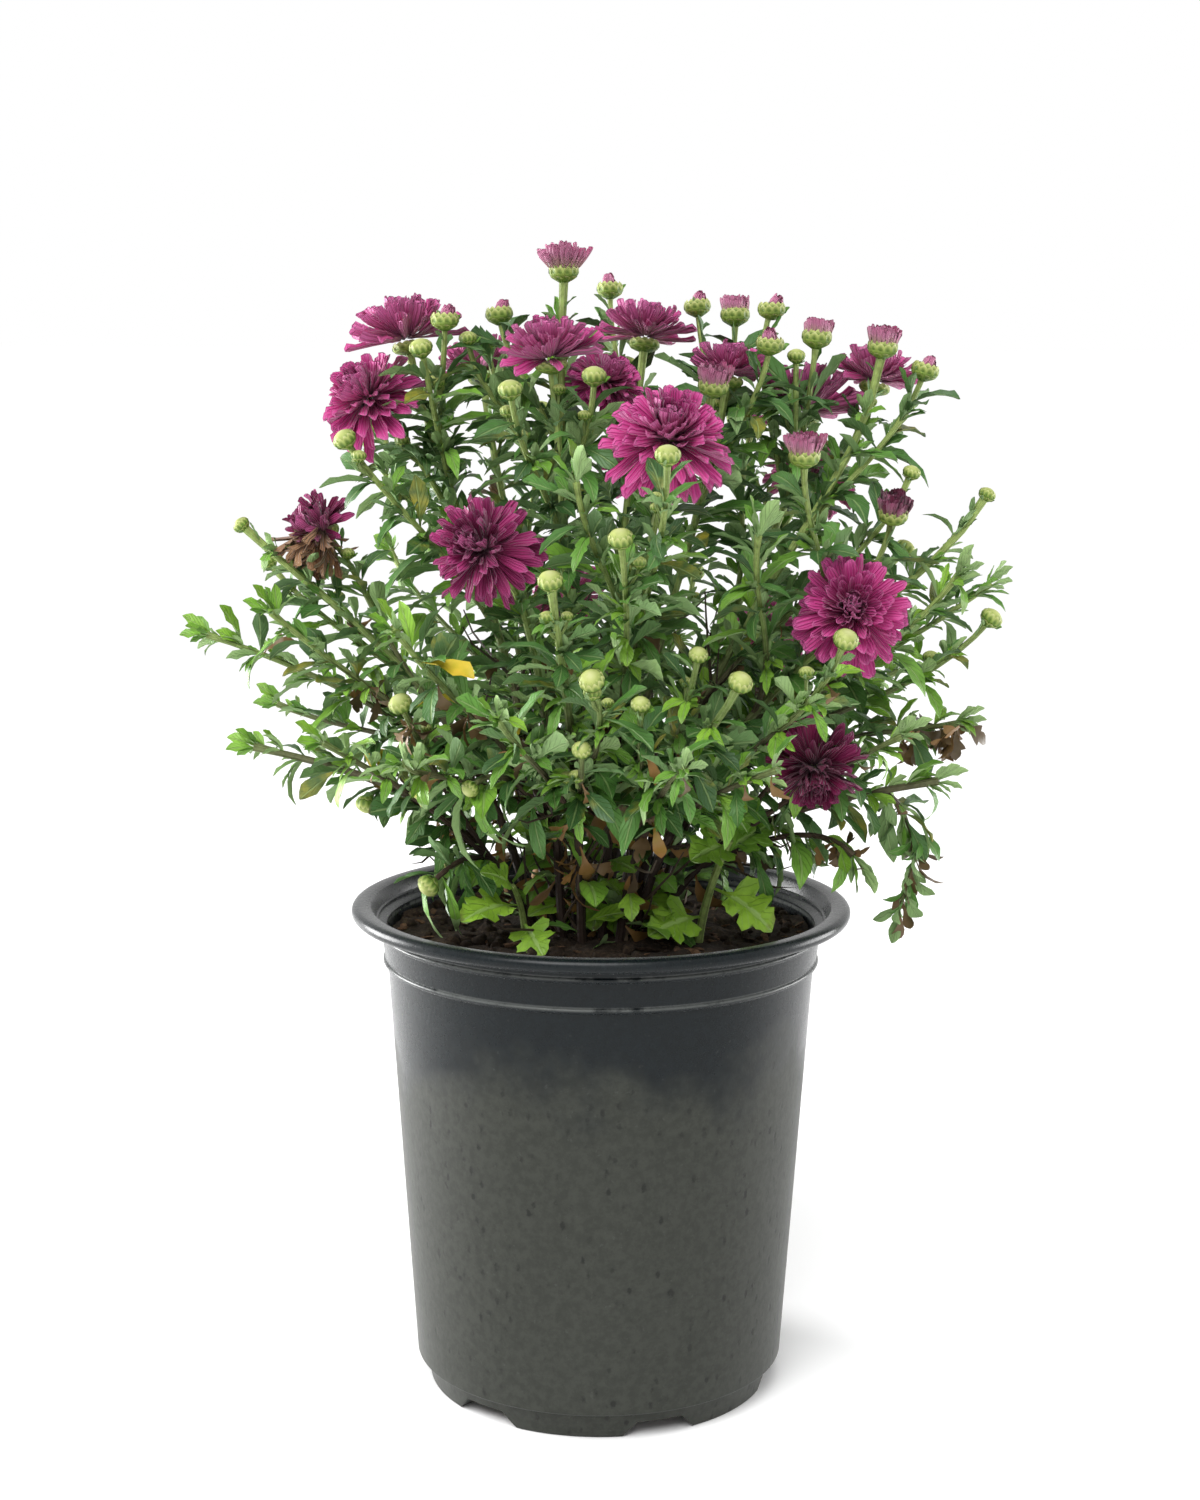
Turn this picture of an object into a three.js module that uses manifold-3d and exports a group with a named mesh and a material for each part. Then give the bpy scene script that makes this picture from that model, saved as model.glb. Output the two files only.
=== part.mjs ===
import * as THREE from 'three';
import { mergeGeometries, mergeVertices } from 'three/addons/utils/BufferGeometryUtils.js';
import Module from 'manifold-3d';

// A garden chrysanthemum in a black nursery pot, in millimetres with +Z up.
// The origin is the middle of the pot's underside, and the front of the plant looks along -Y.

const wasm = await Module();
wasm.setup();

// pot
const potHeight = 163.3;
const rimRadius = 82.5;
const rimInnerRadius = 75.4;
const wallTopRadius = 70.7;
const wallFootRadius = 61.4;
const wallThickness = 1.6;
const footHeight = 9.3;
const footRadius = 57;
const floorThickness = 3;
const ridgeHeights = { lower: 144.8, upper: 154.9 };
const potSides = 28;
const drains = { count: 6, firstAngle: -70, width: 25, slope: 5, height: 5.2, depth: 12 };

// soil
const soilLevel = 153.5;
const soilClearance = 0.4;
const stemHoleClearance = 0.45;

// plant
const stemBuried = 9;
const stemRadius = 1.6;
const shootRadius = 1.15;
const foliageFrom = 204;
const leafSpacing = 6.5;
const leafEvery = 9;
const leafLength = { shortest: 15, longest: 25 };
const leafRise = 0.2;
const leafFold = 0.35;
const bladeThickness = 0.9;
const seat = 0.35;
const sink = 0.6;
const clearance = 0.35;
const smoothing = [0.04, 0.05, 0.03];
const cornerGap = 0.002;
const calyxRadius = 4.2;
const calyxHeight = 3.6;
const tuftCup = { radius: 4.6, height: 5, drop: 4 };
const branchRange = { low: 0.3, high: 0.84 };
const branchReach = 34;

// room kept round stems, shoots and open petals while the plant is planned
const stemRoom = 2.1;
const shootRoom = 1.6;
const petalRoom = 6;
const samples = 24;
const bendTries = 40;
const bendStep = 0.7;
const turnTries = 6;
const turnStep = 0.55;

// Each stem: the place of its foot in the soil, then its tips. A tip has its kind, its place,
// its radius and the way that it faces in tenths. The first tip ends the stem itself.
const stems = [
  { foot: [-14, -5], tips: [
    ['bloom', -65, 10, 352, 18, -2, 1, 10],
    ['bloom', -77, -10, 331, 17, -6, -5, 7],
    ['tipped', -50, -15, 353, 4, 0, 0, 10],
    ['bud', -57, -22, 344, 4, -2, -2, 10],
    ['bud', -80, -32, 316, 4, -5, -3, 8],
  ] },
  { foot: [-20, -9], tips: [
    ['bud', -117, 0, 287, 3, -6, 0, 6],
    ['wilted', -93, 0, 288, 12, -5, -4, 6],
    ['leafy', -128, -6, 252, 0, -9, 0, 3],
    ['leafy', -104, -30, 262, 0, -6, -3, 6],
  ] },
  { foot: [-19, -16], tips: [
    ['leafy', -113, -10, 216, 0, -8, 0, 2],
    ['bud', -62, -50, 236, 4, -3, -5, 8],
    ['bud', -75, -24, 200, 4, -2, -2, -9],
    ['leafy', -85, -62, 226, 0, -5, -5, 4],
    ['bud', -54, -45, 178, 4, -6, -4, -5],
  ] },
  { foot: [-6, -4], tips: [
    ['tuft', -13, 5, 369.5, 10, 0, 0, 10],
    ['bud', -43, -10, 347, 3, -1, 0, 10],
    ['tipped', -34, 12, 355, 4, -1, 1, 10],
    ['bud', -38, 26, 345, 3, 0, 1, 10],
  ] },
  { foot: [-1, 1], tips: [
    ['bloom', 14, 30, 352, 15, 1, 2, 10],
    ['tipped', 2, 56, 364, 4, 0, 1, 10],
    ['leafy', -14, 42, 330, 0, 0, 3, 10],
  ] },
  { foot: [-8, -12], tips: [
    ['bloom', -17, -22, 346, 16, -1, -1, 10],
    ['bloom', 2, 6, 336, 13, 4, -4, 8],
    ['bud', -28, -56, 332, 4, -1, -2, 10],
    ['bud', -3, -46, 336, 4, 0, -2, 10],
  ] },
  { foot: [0, -17], tips: [
    ['bloom', 20, -72, 322, 19, 1, -6, 8],
    ['bud', 18, -104, 315, 4, 0, -3, 9],
    ['bud', 5, -98, 291, 4, -1, -4, 9],
    ['leafy', -8, -76, 306, 0, -1, -4, 9],
  ] },
  { foot: [-6, -23], tips: [
    ['bud', -15, -100, 279, 5, -1, -4, 9],
    ['bud', -3, -104, 251, 5, -2, -6, 6],
    ['bud', -6, -92, 229, 3, 0, -6, 6],
    ['leafy', -30, -104, 240, 0, -2, -7, 5],
  ] },
  { foot: [-12, -21], tips: [
    ['bloom', -37, -70, 287, 17, -4, -8, 4],
    ['bud', -40, -62, 212, 3, -3, -4, -3],
    ['leafy', -58, -88, 224, 0, -4, -6, 4],
    ['leafy', -62, -72, 262, 0, -4, -4, 7],
  ] },
  { foot: [5, -22], tips: [
    ['bud', 40, -92, 249, 5, 3, -5, 8],
    ['bud', 28, -84, 256, 3, 1, -5, 8],
    ['bud', 11, -96, 243, 3, 0, -5, 8],
    ['leafy', 24, -106, 226, 0, 2, -8, 3],
    ['leafy', 52, -84, 222, 0, 5, -6, 3],
  ] },
  { foot: [1, -7], tips: [
    ['bloom', 40, -4, 340, 13, 1, 0, 10],
    ['tuft', 43, 22, 356, 6, 0, 1, 10],
    ['tuft', 34, -30, 334, 6.5, 1, -3, 10],
    ['tipped', 31, 34, 358, 4, -1, 1, 10],
    ['tipped', 52, -18, 346, 4, 1, -1, 10],
  ] },
  { foot: [7, -4], tips: [
    ['bloom', 66, 22, 329, 19, 0, 3, 10],
    ['tuft', 68, -2, 349, 5.5, 1, 0, 10],
    ['tipped', 54, 8, 357, 4, 0, 0, 10],
    ['bud', 61, -8, 342, 3, 0, -1, 10],
    ['leafy', 50, 42, 316, 0, 3, 4, 9],
  ] },
  { foot: [9, -10], tips: [
    ['tuft', 88, -12, 346, 6.5, 1, -1, 10],
    ['bloom', 90, 18, 338, 14, 2, 1, 10],
    ['tipped', 102, -8, 338, 4, 3, 0, 10],
    ['bud', 97, -20, 306, 3, 3, -2, 9],
  ] },
  { foot: [9, -17], tips: [
    ['bloom', 75, -62, 268, 18, -1, -9, 3],
    ['tuft', 60, -60, 314, 7, 0, -2, 10],
    ['tuft', 90, -34, 295, 6.5, 1, -4, 9],
    ['bud', 70, -95, 262, 4, 2, -5, 8],
    ['leafy', 46, -70, 290, 0, 1, -5, 9],
  ] },
  { foot: [14, -13], tips: [
    ['leafy', 108, -22, 208, 0, 7, -2, 2],
    ['bloom', 65, -58, 216, 15, -1, -8, -5],
    ['leafy', 92, -56, 228, 0, 6, -5, 4],
    ['leafy', 80, -34, 186, 0, 5, -3, -5],
    ['leafy', 101, -6, 188, 0, 3, 0, -9],
  ] },
  { foot: [14, -6], tips: [
    ['bud', 124, 0, 298, 3, 4, 0, 8],
    ['bud', 125, -10, 259, 4, 5, -1, 7],
    ['leafy', 128, 12, 268, 0, 7, 2, 5],
    ['leafy', 118, 8, 222, 0, 8, 1, 1],
    ['leafy', 110, -40, 276, 0, 5, -3, 8],
  ] },
  { foot: [-11, 2], tips: [
    ['bloom', -42, 58, 340, 15, -1, 3, 10],
    ['bloom', -84, 70, 326, 14, -4, 5, 8],
    ['bud', -22, 84, 322, 4, 0, 4, 9],
    ['bud', -84, 42, 318, 4, -4, 2, 9],
    ['leafy', -76, 84, 272, 0, -4, 6, 7],
  ] },
  { foot: [-3, 7], tips: [
    ['bloom', 16, 92, 306, 17, 1, 6, 8],
    ['bud', -40, 112, 268, 4, -2, 7, 6],
    ['bud', 8, 66, 338, 4, 0, 3, 10],
    ['bloom', -14, 112, 254, 15, -1, 9, 3],
    ['leafy', 24, 116, 240, 0, 1, 8, 4],
  ] },
  { foot: [5, 4], tips: [
    ['bloom', 74, 66, 304, 17, 4, 5, 8],
    ['bud', 44, 72, 328, 4, 2, 3, 10],
    ['bud', 104, 50, 276, 4, 6, 3, 7],
    ['bloom', 62, 98, 244, 15, 3, 8, 3],
    ['leafy', 104, 62, 232, 0, 7, 4, 3],
  ] },
  { foot: [-18, -1], tips: [
    ['bloom', -45, 84, 275, 16, -4, 8, 5],
    ['leafy', -70, 96, 222, 0, -5, 7, 3],
    ['leafy', -112, 44, 222, 0, -8, 3, 3],
    ['bud', -112, 28, 272, 3, -6, 2, 7],
  ] },
  { foot: [2, 12], tips: [
    ['leafy', -6, 118, 216, 0, 0, 8, 3],
    ['leafy', 50, 104, 212, 0, 4, 7, 3],
    ['leafy', -42, 100, 224, 0, -4, 7, 4],
    ['bud', 34, 112, 262, 4, 2, 7, 7],
  ] },
];

// Dead leaves that still hang on the bare lower stems: the stem, the share of its length from
// the foot, the way that the leaf hangs, in degrees round the stem, and its length.
const deadLeaves = [
  [5, 0.2, 250, 17], [7, 0.24, 230, 20], [9, 0.26, 300, 19], [6, 0.3, 280, 22], [8, 0.3, 215, 18],
  [14, 0.3, 290, 20], [15, 0.62, 300, 22], [1, 0.42, 240, 20], [2, 0.5, 260, 18], [18, 0.3, 60, 20],
  [17, 0.28, 110, 18], [19, 0.4, 150, 20],
];
const yellowLeaf = [8, 0.62, 215, 16];

// Shoots that rise straight from the soil, with broad lobed leaves. A leaf has its share of the
// shoot's length, its turn round the shoot in degrees and its length.
const basalShoots = [
  { name: 'basal_shoot_right', foot: [31, -22], head: [46, -26, 198], radius: 2.1,
    leaves: [[0.3, 200, 21], [0.42, 335, 24], [0.62, 250, 24], [0.8, 20, 22], [0.88, 160, 20]] },
  { name: 'basal_shoot_left', foot: [-24, -24], head: [-33, -33, 176], radius: 1.5,
    leaves: [[0.4, 300, 20], [0.7, 190, 19], [0.85, 80, 16]] },
];

const up = new THREE.Vector3(0, 0, 1);
const skew = new THREE.Vector3(0.31, 0.87, 0.2);
const golden = THREE.MathUtils.degToRad(137.5);

// A number from 0 to 1 that is always the same for the same three whole numbers.
function chance(a, b, c) {
  let word = (Math.imul(a, 73856093) ^ Math.imul(b, 19349663) ^ Math.imul(c, 83492791)) >>> 0;
  word = (word + 0x6d2b79f5) >>> 0;
  let mixed = Math.imul(word ^ (word >>> 15), word | 1);
  mixed ^= mixed + Math.imul(mixed ^ (mixed >>> 7), mixed | 61);
  return ((mixed ^ (mixed >>> 14)) >>> 0) / 4294967296;
}

function between(low, high, share) {
  return low + (high - low) * share;
}

// Solids

function cleanIndex(geometry) {
  const bare = new THREE.BufferGeometry();
  bare.setAttribute('position', geometry.getAttribute('position'));
  if (geometry.index) bare.setIndex(geometry.index);
  const merged = mergeVertices(bare, 1e-4);
  const order = merged.index.array;
  const kept = [];
  for (let i = 0; i < order.length; i += 3) {
    const [a, b, c] = [order[i], order[i + 1], order[i + 2]];
    if (a !== b && b !== c && a !== c) kept.push(a, b, c);
  }
  merged.setIndex(kept);
  return merged;
}

function signedVolume(geometry) {
  const place = geometry.getAttribute('position');
  const order = geometry.index.array;
  const [a, b, c] = [new THREE.Vector3(), new THREE.Vector3(), new THREE.Vector3()];
  let volume = 0;
  for (let i = 0; i < order.length; i += 3) {
    a.fromBufferAttribute(place, order[i]);
    b.fromBufferAttribute(place, order[i + 1]);
    c.fromBufferAttribute(place, order[i + 2]);
    volume += a.dot(b.cross(c)) / 6;
  }
  return volume;
}

function solidOf(geometry) {
  const closed = cleanIndex(geometry);
  if (signedVolume(closed) < 0) closed.setIndex(Array.from(closed.index.array).reverse());
  return new wasm.Manifold(new wasm.Mesh({
    numProp: 3,
    vertProperties: new Float32Array(closed.getAttribute('position').array),
    triVerts: new Uint32Array(closed.index.array),
  }));
}

function geometryOf(solid) {
  const mesh = solid.getMesh();
  const geometry = new THREE.BufferGeometry();
  const corners = Float32Array.from(mesh.vertProperties);
  geometry.setAttribute('position', new THREE.BufferAttribute(corners, 3));
  geometry.setIndex(Array.from(mesh.triVerts));
  geometry.computeVertexNormals();
  return geometry;
}

// Joins the pieces and keeps the largest body, without scraps or sealed hollows. Tiny facets are
// smoothed away. A late piece is left out where two corners would otherwise share one spot.
function fuse(solids) {
  for (let dropped = solids.length; dropped > 0; dropped -= 1) {
    const kept = solids.filter((solid, index) => index !== dropped);
    const joined = largest(wasm.Manifold.union(kept)).asOriginal();
    for (const amount of smoothing) {
      const body = largest(joined.simplify(amount));
      if (hasOpenCorners(body)) return body;
    }
  }
  throw new Error('two corners share one spot');
}

function hasOpenCorners(body) {
  const geometry = geometryOf(body).deleteAttribute('normal');
  return mergeVertices(geometry, cornerGap).getAttribute('position').count === body.numVert();
}

function largest(solid) {
  return solid.decompose().reduce((best, body) => (body.volume() > best.volume() ? body : best));
}

// Pot and soil

function wallRadius(height) {
  const share = (height - footHeight) / (ridgeHeights.lower - footHeight);
  return between(wallFootRadius, wallTopRadius, share);
}

function lathe(points) {
  const profile = points.map(([radius, height]) => new THREE.Vector2(radius, height));
  return new THREE.LatheGeometry(profile, potSides).rotateX(Math.PI / 2);
}

function drainCut(index) {
  const angle = THREE.MathUtils.degToRad(drains.firstAngle + index * 360 / drains.count);
  const half = drains.width / 2;
  const outline = new THREE.Shape([
    new THREE.Vector2(-half - 1, -1),
    new THREE.Vector2(half + 1, -1),
    new THREE.Vector2(half - drains.slope, drains.height),
    new THREE.Vector2(drains.slope - half, drains.height),
  ]);
  const beyond = 4;
  const cut = new THREE.ExtrudeGeometry(outline, { depth: drains.depth + beyond, bevelEnabled: false });
  cut.rotateX(Math.PI / 2);
  cut.rotateZ(angle + Math.PI / 2);
  const start = footRadius - drains.depth;
  cut.translate(Math.cos(angle) * start, Math.sin(angle) * start, 0);
  return solidOf(cut);
}

function makePot() {
  const inside = (height) => wallRadius(height) - wallThickness;
  const { lower, upper } = ridgeHeights;
  const body = lathe([
    [0, 0],
    [footRadius - 1, 0],
    [footRadius + 0.2, 1.2],
    [footRadius + 1.6, footHeight - 0.8],
    [wallFootRadius - 0.4, footHeight - 0.2],
    [wallFootRadius + 0.1, footHeight + 1],
    [wallTopRadius, lower - 1],
    [wallTopRadius + 1.5, lower],
    [wallTopRadius + 1.9, upper - 1],
    [wallTopRadius + 3.4, upper],
    [wallTopRadius + 3.1, potHeight - 4.4],
    [rimRadius - 2, potHeight - 4],
    [rimRadius - 0.4, potHeight - 2.8],
    [rimRadius, potHeight - 1.5],
    [rimRadius - 1.2, potHeight - 0.2],
    [rimRadius - 3.5, potHeight],
    [rimInnerRadius + 0.7, potHeight - 0.4],
    [rimInnerRadius - 0.5, potHeight - 2],
    [rimInnerRadius - 1.5, potHeight - 5.6],
    [inside(lower) + 2.2, potHeight - 6.2],
    [inside(lower) + 1.4, lower + 1],
    [inside(lower), lower - 1],
    [inside(footHeight + 4), footHeight + 4],
    [footRadius - 2.5, floorThickness],
    [0, floorThickness],
  ]);
  let pot = solidOf(body);
  for (let i = 0; i < drains.count; i += 1) pot = pot.subtract(drainCut(i));
  return fuse([pot]);
}

function soilHeight(x, y) {
  const reach = Math.hypot(x, y) / wallTopRadius;
  const mound = 2.2 * (1 - reach);
  const coarse = Math.sin(x * 0.21 + 1.3) * Math.cos(y * 0.17);
  const fine = 0.6 * Math.sin(x * 0.09 - y * 0.25 + 2);
  return soilLevel + mound + (coarse + fine) * 1.1 * (1 - reach * reach);
}

function makeSoil(holes) {
  const inside = (height) => wallRadius(height) - wallThickness - soilClearance;
  const lower = ridgeHeights.lower;
  const rings = [inside(lower) + 0.8, 54, 36, 20];
  const bed = lathe([
    [0, floorThickness + soilClearance],
    [footRadius - 3.4, floorThickness + soilClearance],
    [inside(footHeight + 4), footHeight + 4.4],
    [inside(lower), lower - 1.4],
    [inside(lower) + 0.8, lower + 0.8],
    ...rings.map((radius) => [radius, soilLevel]),
    [0, soilLevel],
  ]);
  const place = bed.getAttribute('position');
  for (let i = 0; i < place.count; i += 1) {
    if (place.getZ(i) > soilLevel - 0.1) place.setZ(i, soilHeight(place.getX(i), place.getY(i)));
  }
  let soil = solidOf(bed);
  for (const hole of holes) soil = soil.subtract(hole);
  return fuse([soil]);
}

// Stems

function tube(curve, from, to, startRadius, endRadius, sides, steps) {
  const rod = new THREE.CylinderGeometry(1, 1, 1, sides, steps, false);
  const place = rod.getAttribute('position');
  const point = new THREE.Vector3();
  const side = new THREE.Vector3();
  const over = new THREE.Vector3();
  for (let i = 0; i < place.count; i += 1) {
    const share = place.getY(i) + 0.5;
    const along = between(from, to, share);
    const radius = between(startRadius, endRadius, share);
    const heading = curve.getTangentAt(along);
    side.set(1, 0.13, 0.07).cross(heading).normalize();
    over.crossVectors(heading, side);
    point.copy(curve.getPointAt(along));
    point.addScaledVector(side, place.getX(i) * radius);
    point.addScaledVector(over, place.getZ(i) * radius);
    place.setXYZ(i, point.x, point.y, point.z);
  }
  return solidOf(rod);
}

function tipPlace(tip) {
  return new THREE.Vector3(tip[1], tip[2], tip[3]);
}

function tipFacing(tip) {
  return new THREE.Vector3(tip[5], tip[6], tip[7]).normalize();
}

// How far below its middle a tip's own stalk ends.
function stalkDrop(tip) {
  if (tip[0] === 'bloom' || tip[0] === 'wilted') return tip[4] * 0.38;
  if (tip[0] === 'tuft') return tuftCup.drop;
  return 0;
}

function mainCurve(foot, tip, bow) {
  const start = new THREE.Vector3(foot[0], foot[1], soilLevel - stemBuried);
  const facing = tipFacing(tip);
  const end = tipPlace(tip).addScaledVector(facing, -stalkDrop(tip));
  const span = end.clone().sub(start);
  const rise = span.z * 0.42 + Math.hypot(span.x, span.y) * 0.3;
  const first = start.clone().add(new THREE.Vector3(span.x * 0.14, span.y * 0.14, rise)).add(bow);
  const second = end.clone().addScaledVector(facing, -span.length() * 0.24).add(bow);
  return new THREE.CubicBezierCurve3(start, first, second, end);
}

// The share of the stem's length where a side shoot for this tip leaves it.
function branchShare(main, tip) {
  const target = tipPlace(tip);
  let best = branchRange.low;
  let least = Infinity;
  for (let i = 0; i <= 10; i += 1) {
    const share = between(branchRange.low, branchRange.high, i / 10);
    const point = main.getPointAt(share);
    const across = Math.hypot(target.x - point.x, target.y - point.y);
    const miss = Math.abs(target.z - point.z - 0.6 * across - branchReach);
    if (miss < least) {
      least = miss;
      best = share;
    }
  }
  return best;
}

function shootCurve(main, share, tip, bow) {
  const start = main.getPointAt(share);
  const facing = tipFacing(tip);
  const end = tipPlace(tip).addScaledVector(facing, -stalkDrop(tip));
  const span = end.clone().sub(start);
  const length = span.length();
  const first = start.clone().addScaledVector(main.getTangentAt(share), length * 0.2);
  first.addScaledVector(span, 0.18).add(bow);
  const second = end.clone().addScaledVector(facing, -length * 0.34).add(bow);
  return new THREE.CubicBezierCurve3(start, first, second, end);
}

const taken = [];

function isFree(points, radius, owner, tip, skip) {
  for (const [index, point] of points.entries()) {
    if (index < skip) continue;
    for (const other of taken) {
      if (other.tip ? other.tip === tip : other.owner === owner) continue;
      if (point.distanceTo(other.point) < radius + other.radius) return false;
    }
  }
  return true;
}

// Bends a stem or shoot a little, one way after another, until it is clear of the other stems.
function clearCurve(make, owner, tip, radius, skip) {
  let curve = null;
  for (let i = 0; i < bendTries; i += 1) {
    const turn = i * golden;
    const bow = new THREE.Vector3(Math.cos(turn), Math.sin(turn), 0.3).multiplyScalar(i * bendStep);
    curve = make(bow);
    if (isFree(curve.getSpacedPoints(samples), radius, owner, tip, skip)) break;
  }
  for (const point of curve.getSpacedPoints(samples)) taken.push({ point, radius, owner });
  return curve;
}

function takeHead(tip) {
  const facing = tipFacing(tip);
  const side = skew.clone().cross(facing).normalize();
  const middle = tipPlace(tip);
  taken.push({ point: middle, radius: petalRoom, tip });
  if (tip[0] === 'bud' || tip[0] === 'tipped' || tip[0] === 'tuft') return;
  for (let i = 0; i < 8; i += 1) {
    const spoke = side.clone().applyAxisAngle(facing, i * Math.PI / 4);
    const point = middle.clone().addScaledVector(spoke, tip[4] * 0.66);
    taken.push({ point, radius: petalRoom, tip });
  }
}

function planPlant() {
  stems.forEach((stem) => stem.tips.filter((tip) => tip[0] !== 'leafy').forEach(takeHead));
  const plan = stems.map(({ foot, tips: [tip] }, owner) => ({
    main: clearCurve((bow) => mainCurve(foot, tip, bow), owner, tip, stemRoom, 0),
    shoots: [],
  }));
  stems.forEach((stem, owner) => stem.tips.slice(1).forEach((tip) => {
    const { main, shoots } = plan[owner];
    const share = branchShare(main, tip);
    const curve = clearCurve((bow) => shootCurve(main, share, tip, bow), owner, tip, shootRoom, 2);
    shoots.push({ tip, curve });
  }));
  return plan;
}

// Leaves

// Half a leaf's outline from its root: the share of its length, and the share of its width.
const bladeOutlines = {
  lance: [[0, 0], [0.34, 0.42], [0.7, 0.5], [1, 0]],
  toothed: [[0, 0], [0.38, 0.36], [0.62, 0.56], [0.74, 0.36], [1, 0]],
  lobed: [[0, 0], [0.28, 0.2], [0.42, 0.6], [0.55, 0.34], [0.72, 0.54], [0.82, 0.28], [1, 0]],
};

// A thin arched leaf with its root at the origin. It points along +Y and its upper side is +Z.
// Both faces share the outline and are split into triangles alike, round a raised middle.
function leafBlade(kind, length, width, arch, extra) {
  const half = bladeOutlines[kind];
  const other = half.slice(1, -1).reverse().map(([share, side]) => [share, -side]);
  const outline = [...half, ...other];
  const upper = new THREE.CircleGeometry(1, outline.length);
  const place = upper.getAttribute('position');
  for (let i = 0; i < place.count; i += 1) {
    const [share, side] = i === 0 ? [0.5, 0] : outline[(i - 1) % outline.length];
    const x = side * width + Math.sign(side) * extra;
    const lift = i === 0 ? bladeThickness / 2 + extra : 0;
    const bend = Math.abs(side) * leafFold * width - arch * length * share * share;
    place.setXYZ(i, x, share * (length + extra), bend + lift);
  }
  const lower = upper.clone();
  lower.getAttribute('position').setZ(0, place.getZ(0) - bladeThickness - 2 * extra);
  lower.setIndex(Array.from(lower.index.array).reverse());
  return mergeGeometries([upper, lower]);
}

// Turns a leaf so that it leaves its stem at root, heads along heading and looks to the light.
function leafPlace(root, heading, roll) {
  const along = heading.clone().normalize();
  const light = Math.abs(along.z) > 0.94 ? new THREE.Vector3(-along.x, -along.y, 0.05) : up.clone();
  const across = new THREE.Vector3().crossVectors(along, light).normalize();
  across.applyAxisAngle(along, roll);
  const top = new THREE.Vector3().crossVectors(across, along);
  return new THREE.Matrix4().makeBasis(across, along, top).setPosition(root);
}

// The way that a leaf heads, from the heading of its stem, its turn round it and its spread.
function leafHeading(stemHeading, turn, spread, rise) {
  const side = skew.clone().cross(stemHeading).normalize().applyAxisAngle(stemHeading, turn);
  const heading = stemHeading.clone().multiplyScalar(Math.cos(spread));
  return heading.addScaledVector(side, Math.sin(spread)).addScaledVector(up, rise).normalize();
}

// The leaves of one stem or shoot: where they sit, how they turn, and how large they are.
function leavesAlong(curve, from, to, stemNumber, shootNumber) {
  const length = curve.getLength();
  const key = stemNumber * 16 + shootNumber;
  const leaves = [];
  for (let k = 0; from * length + k * leafSpacing < to * length; k += 1) {
    const share = from + k * leafSpacing / length;
    const toTip = 1 - share;
    const size = between(leafLength.shortest, leafLength.longest, Math.min(1, toTip * 1.6));
    leaves.push({
      number: k,
      share,
      turn: k * golden + chance(key, k, 1) * 0.9,
      spread: between(0.75, 1.2, chance(key, k, 2)),
      length: size * between(0.82, 1.12, chance(key, k, 3)),
      slim: between(0.3, 0.4, chance(key, k, 4)),
      arch: between(0.02, 0.3, chance(key, k, 5)),
      roll: between(-0.4, 0.4, chance(key, k, 6)),
      kind: chance(key, k, 7) < 0.45 ? 'toothed' : 'lance',
    });
  }
  return leaves;
}

const pieces = [];

function boxesMeet(a, b) {
  return [0, 1, 2].every((axis) => a.min[axis] <= b.max[axis] && b.min[axis] <= a.max[axis]);
}

function isClear(probe, parent) {
  const box = probe.boundingBox();
  for (const piece of pieces) {
    if (piece.solid === parent || !boxesMeet(box, piece.box)) continue;
    if (!probe.intersect(piece.solid).isEmpty()) return false;
  }
  return true;
}

function keep(solid) {
  pieces.push({ solid, box: solid.boundingBox() });
  return solid;
}

// Adds a leaf where it is clear of everything but its own stem, after a few turns at most.
function addLeaf(parent, curve, leaf) {
  const root = curve.getPointAt(leaf.share);
  const stemHeading = curve.getTangentAt(leaf.share);
  const { kind, length, slim, arch } = leaf;
  for (let i = 0; i < turnTries; i += 1) {
    const turn = leaf.turn + i * turnStep * (i % 2 ? 1 : -1);
    const heading = leafHeading(stemHeading, turn, leaf.spread, leaf.rise ?? leafRise);
    const place = leafPlace(root, heading, leaf.roll);
    const shape = (extra) => leafBlade(kind, length, length * slim, arch, extra).applyMatrix4(place);
    const probe = solidOf(shape(clearance));
    if (clearOfPot(probe) && isClear(probe, parent)) return keep(solidOf(shape(0)));
  }
  return null;
}

function clearOfPot(probe) {
  const { min, max } = probe.boundingBox();
  if (min[2] < soilLevel + 3) return false;
  if (min[2] > potHeight + 1) return true;
  return Math.hypot(Math.max(Math.abs(min[0]), Math.abs(max[0])),
    Math.max(Math.abs(min[1]), Math.abs(max[1]))) < wallTopRadius;
}

// Heads

function aim(geometry, place, facing) {
  const turn = new THREE.Quaternion().setFromUnitVectors(up, facing);
  return geometry.applyQuaternion(turn).translate(place.x, place.y, place.z);
}

function starLathe(profile, petals, steps) {
  const points = profile.map(([radius, height]) => new THREE.Vector2(radius, height));
  const sides = petals * steps;
  const geometry = new THREE.LatheGeometry(points, sides).rotateX(Math.PI / 2);
  const place = geometry.getAttribute('position');
  const rows = profile.length;
  for (let i = 0; i < place.count; i += 1) {
    const [, , notch, phase, dip] = profile[i % rows];
    if (!notch) continue;
    const spoke = (Math.floor(i / rows) + phase) % sides % steps;
    if (spoke !== 0) continue;
    place.setX(i, place.getX(i) * notch);
    place.setY(i, place.getY(i) * notch);
    place.setZ(i, place.getZ(i) + dip);
  }
  return geometry;
}

// A double bloom: three rows of petals, one above another, round a raised middle.
function bloomShape(radius) {
  return starLathe([
    [0, 0],
    [radius, radius * 0.08, 0.72, 0, radius * 0.04],
    [radius * 0.42, radius * 0.22],
    [radius * 0.84, radius * 0.4, 0.68, 1, -radius * 0.06],
    [radius * 0.3, radius * 0.44],
    [radius * 0.52, radius * 0.66, 0.7, 2, -radius * 0.1],
    [0, radius * 0.56],
  ], 9, 2);
}

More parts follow.
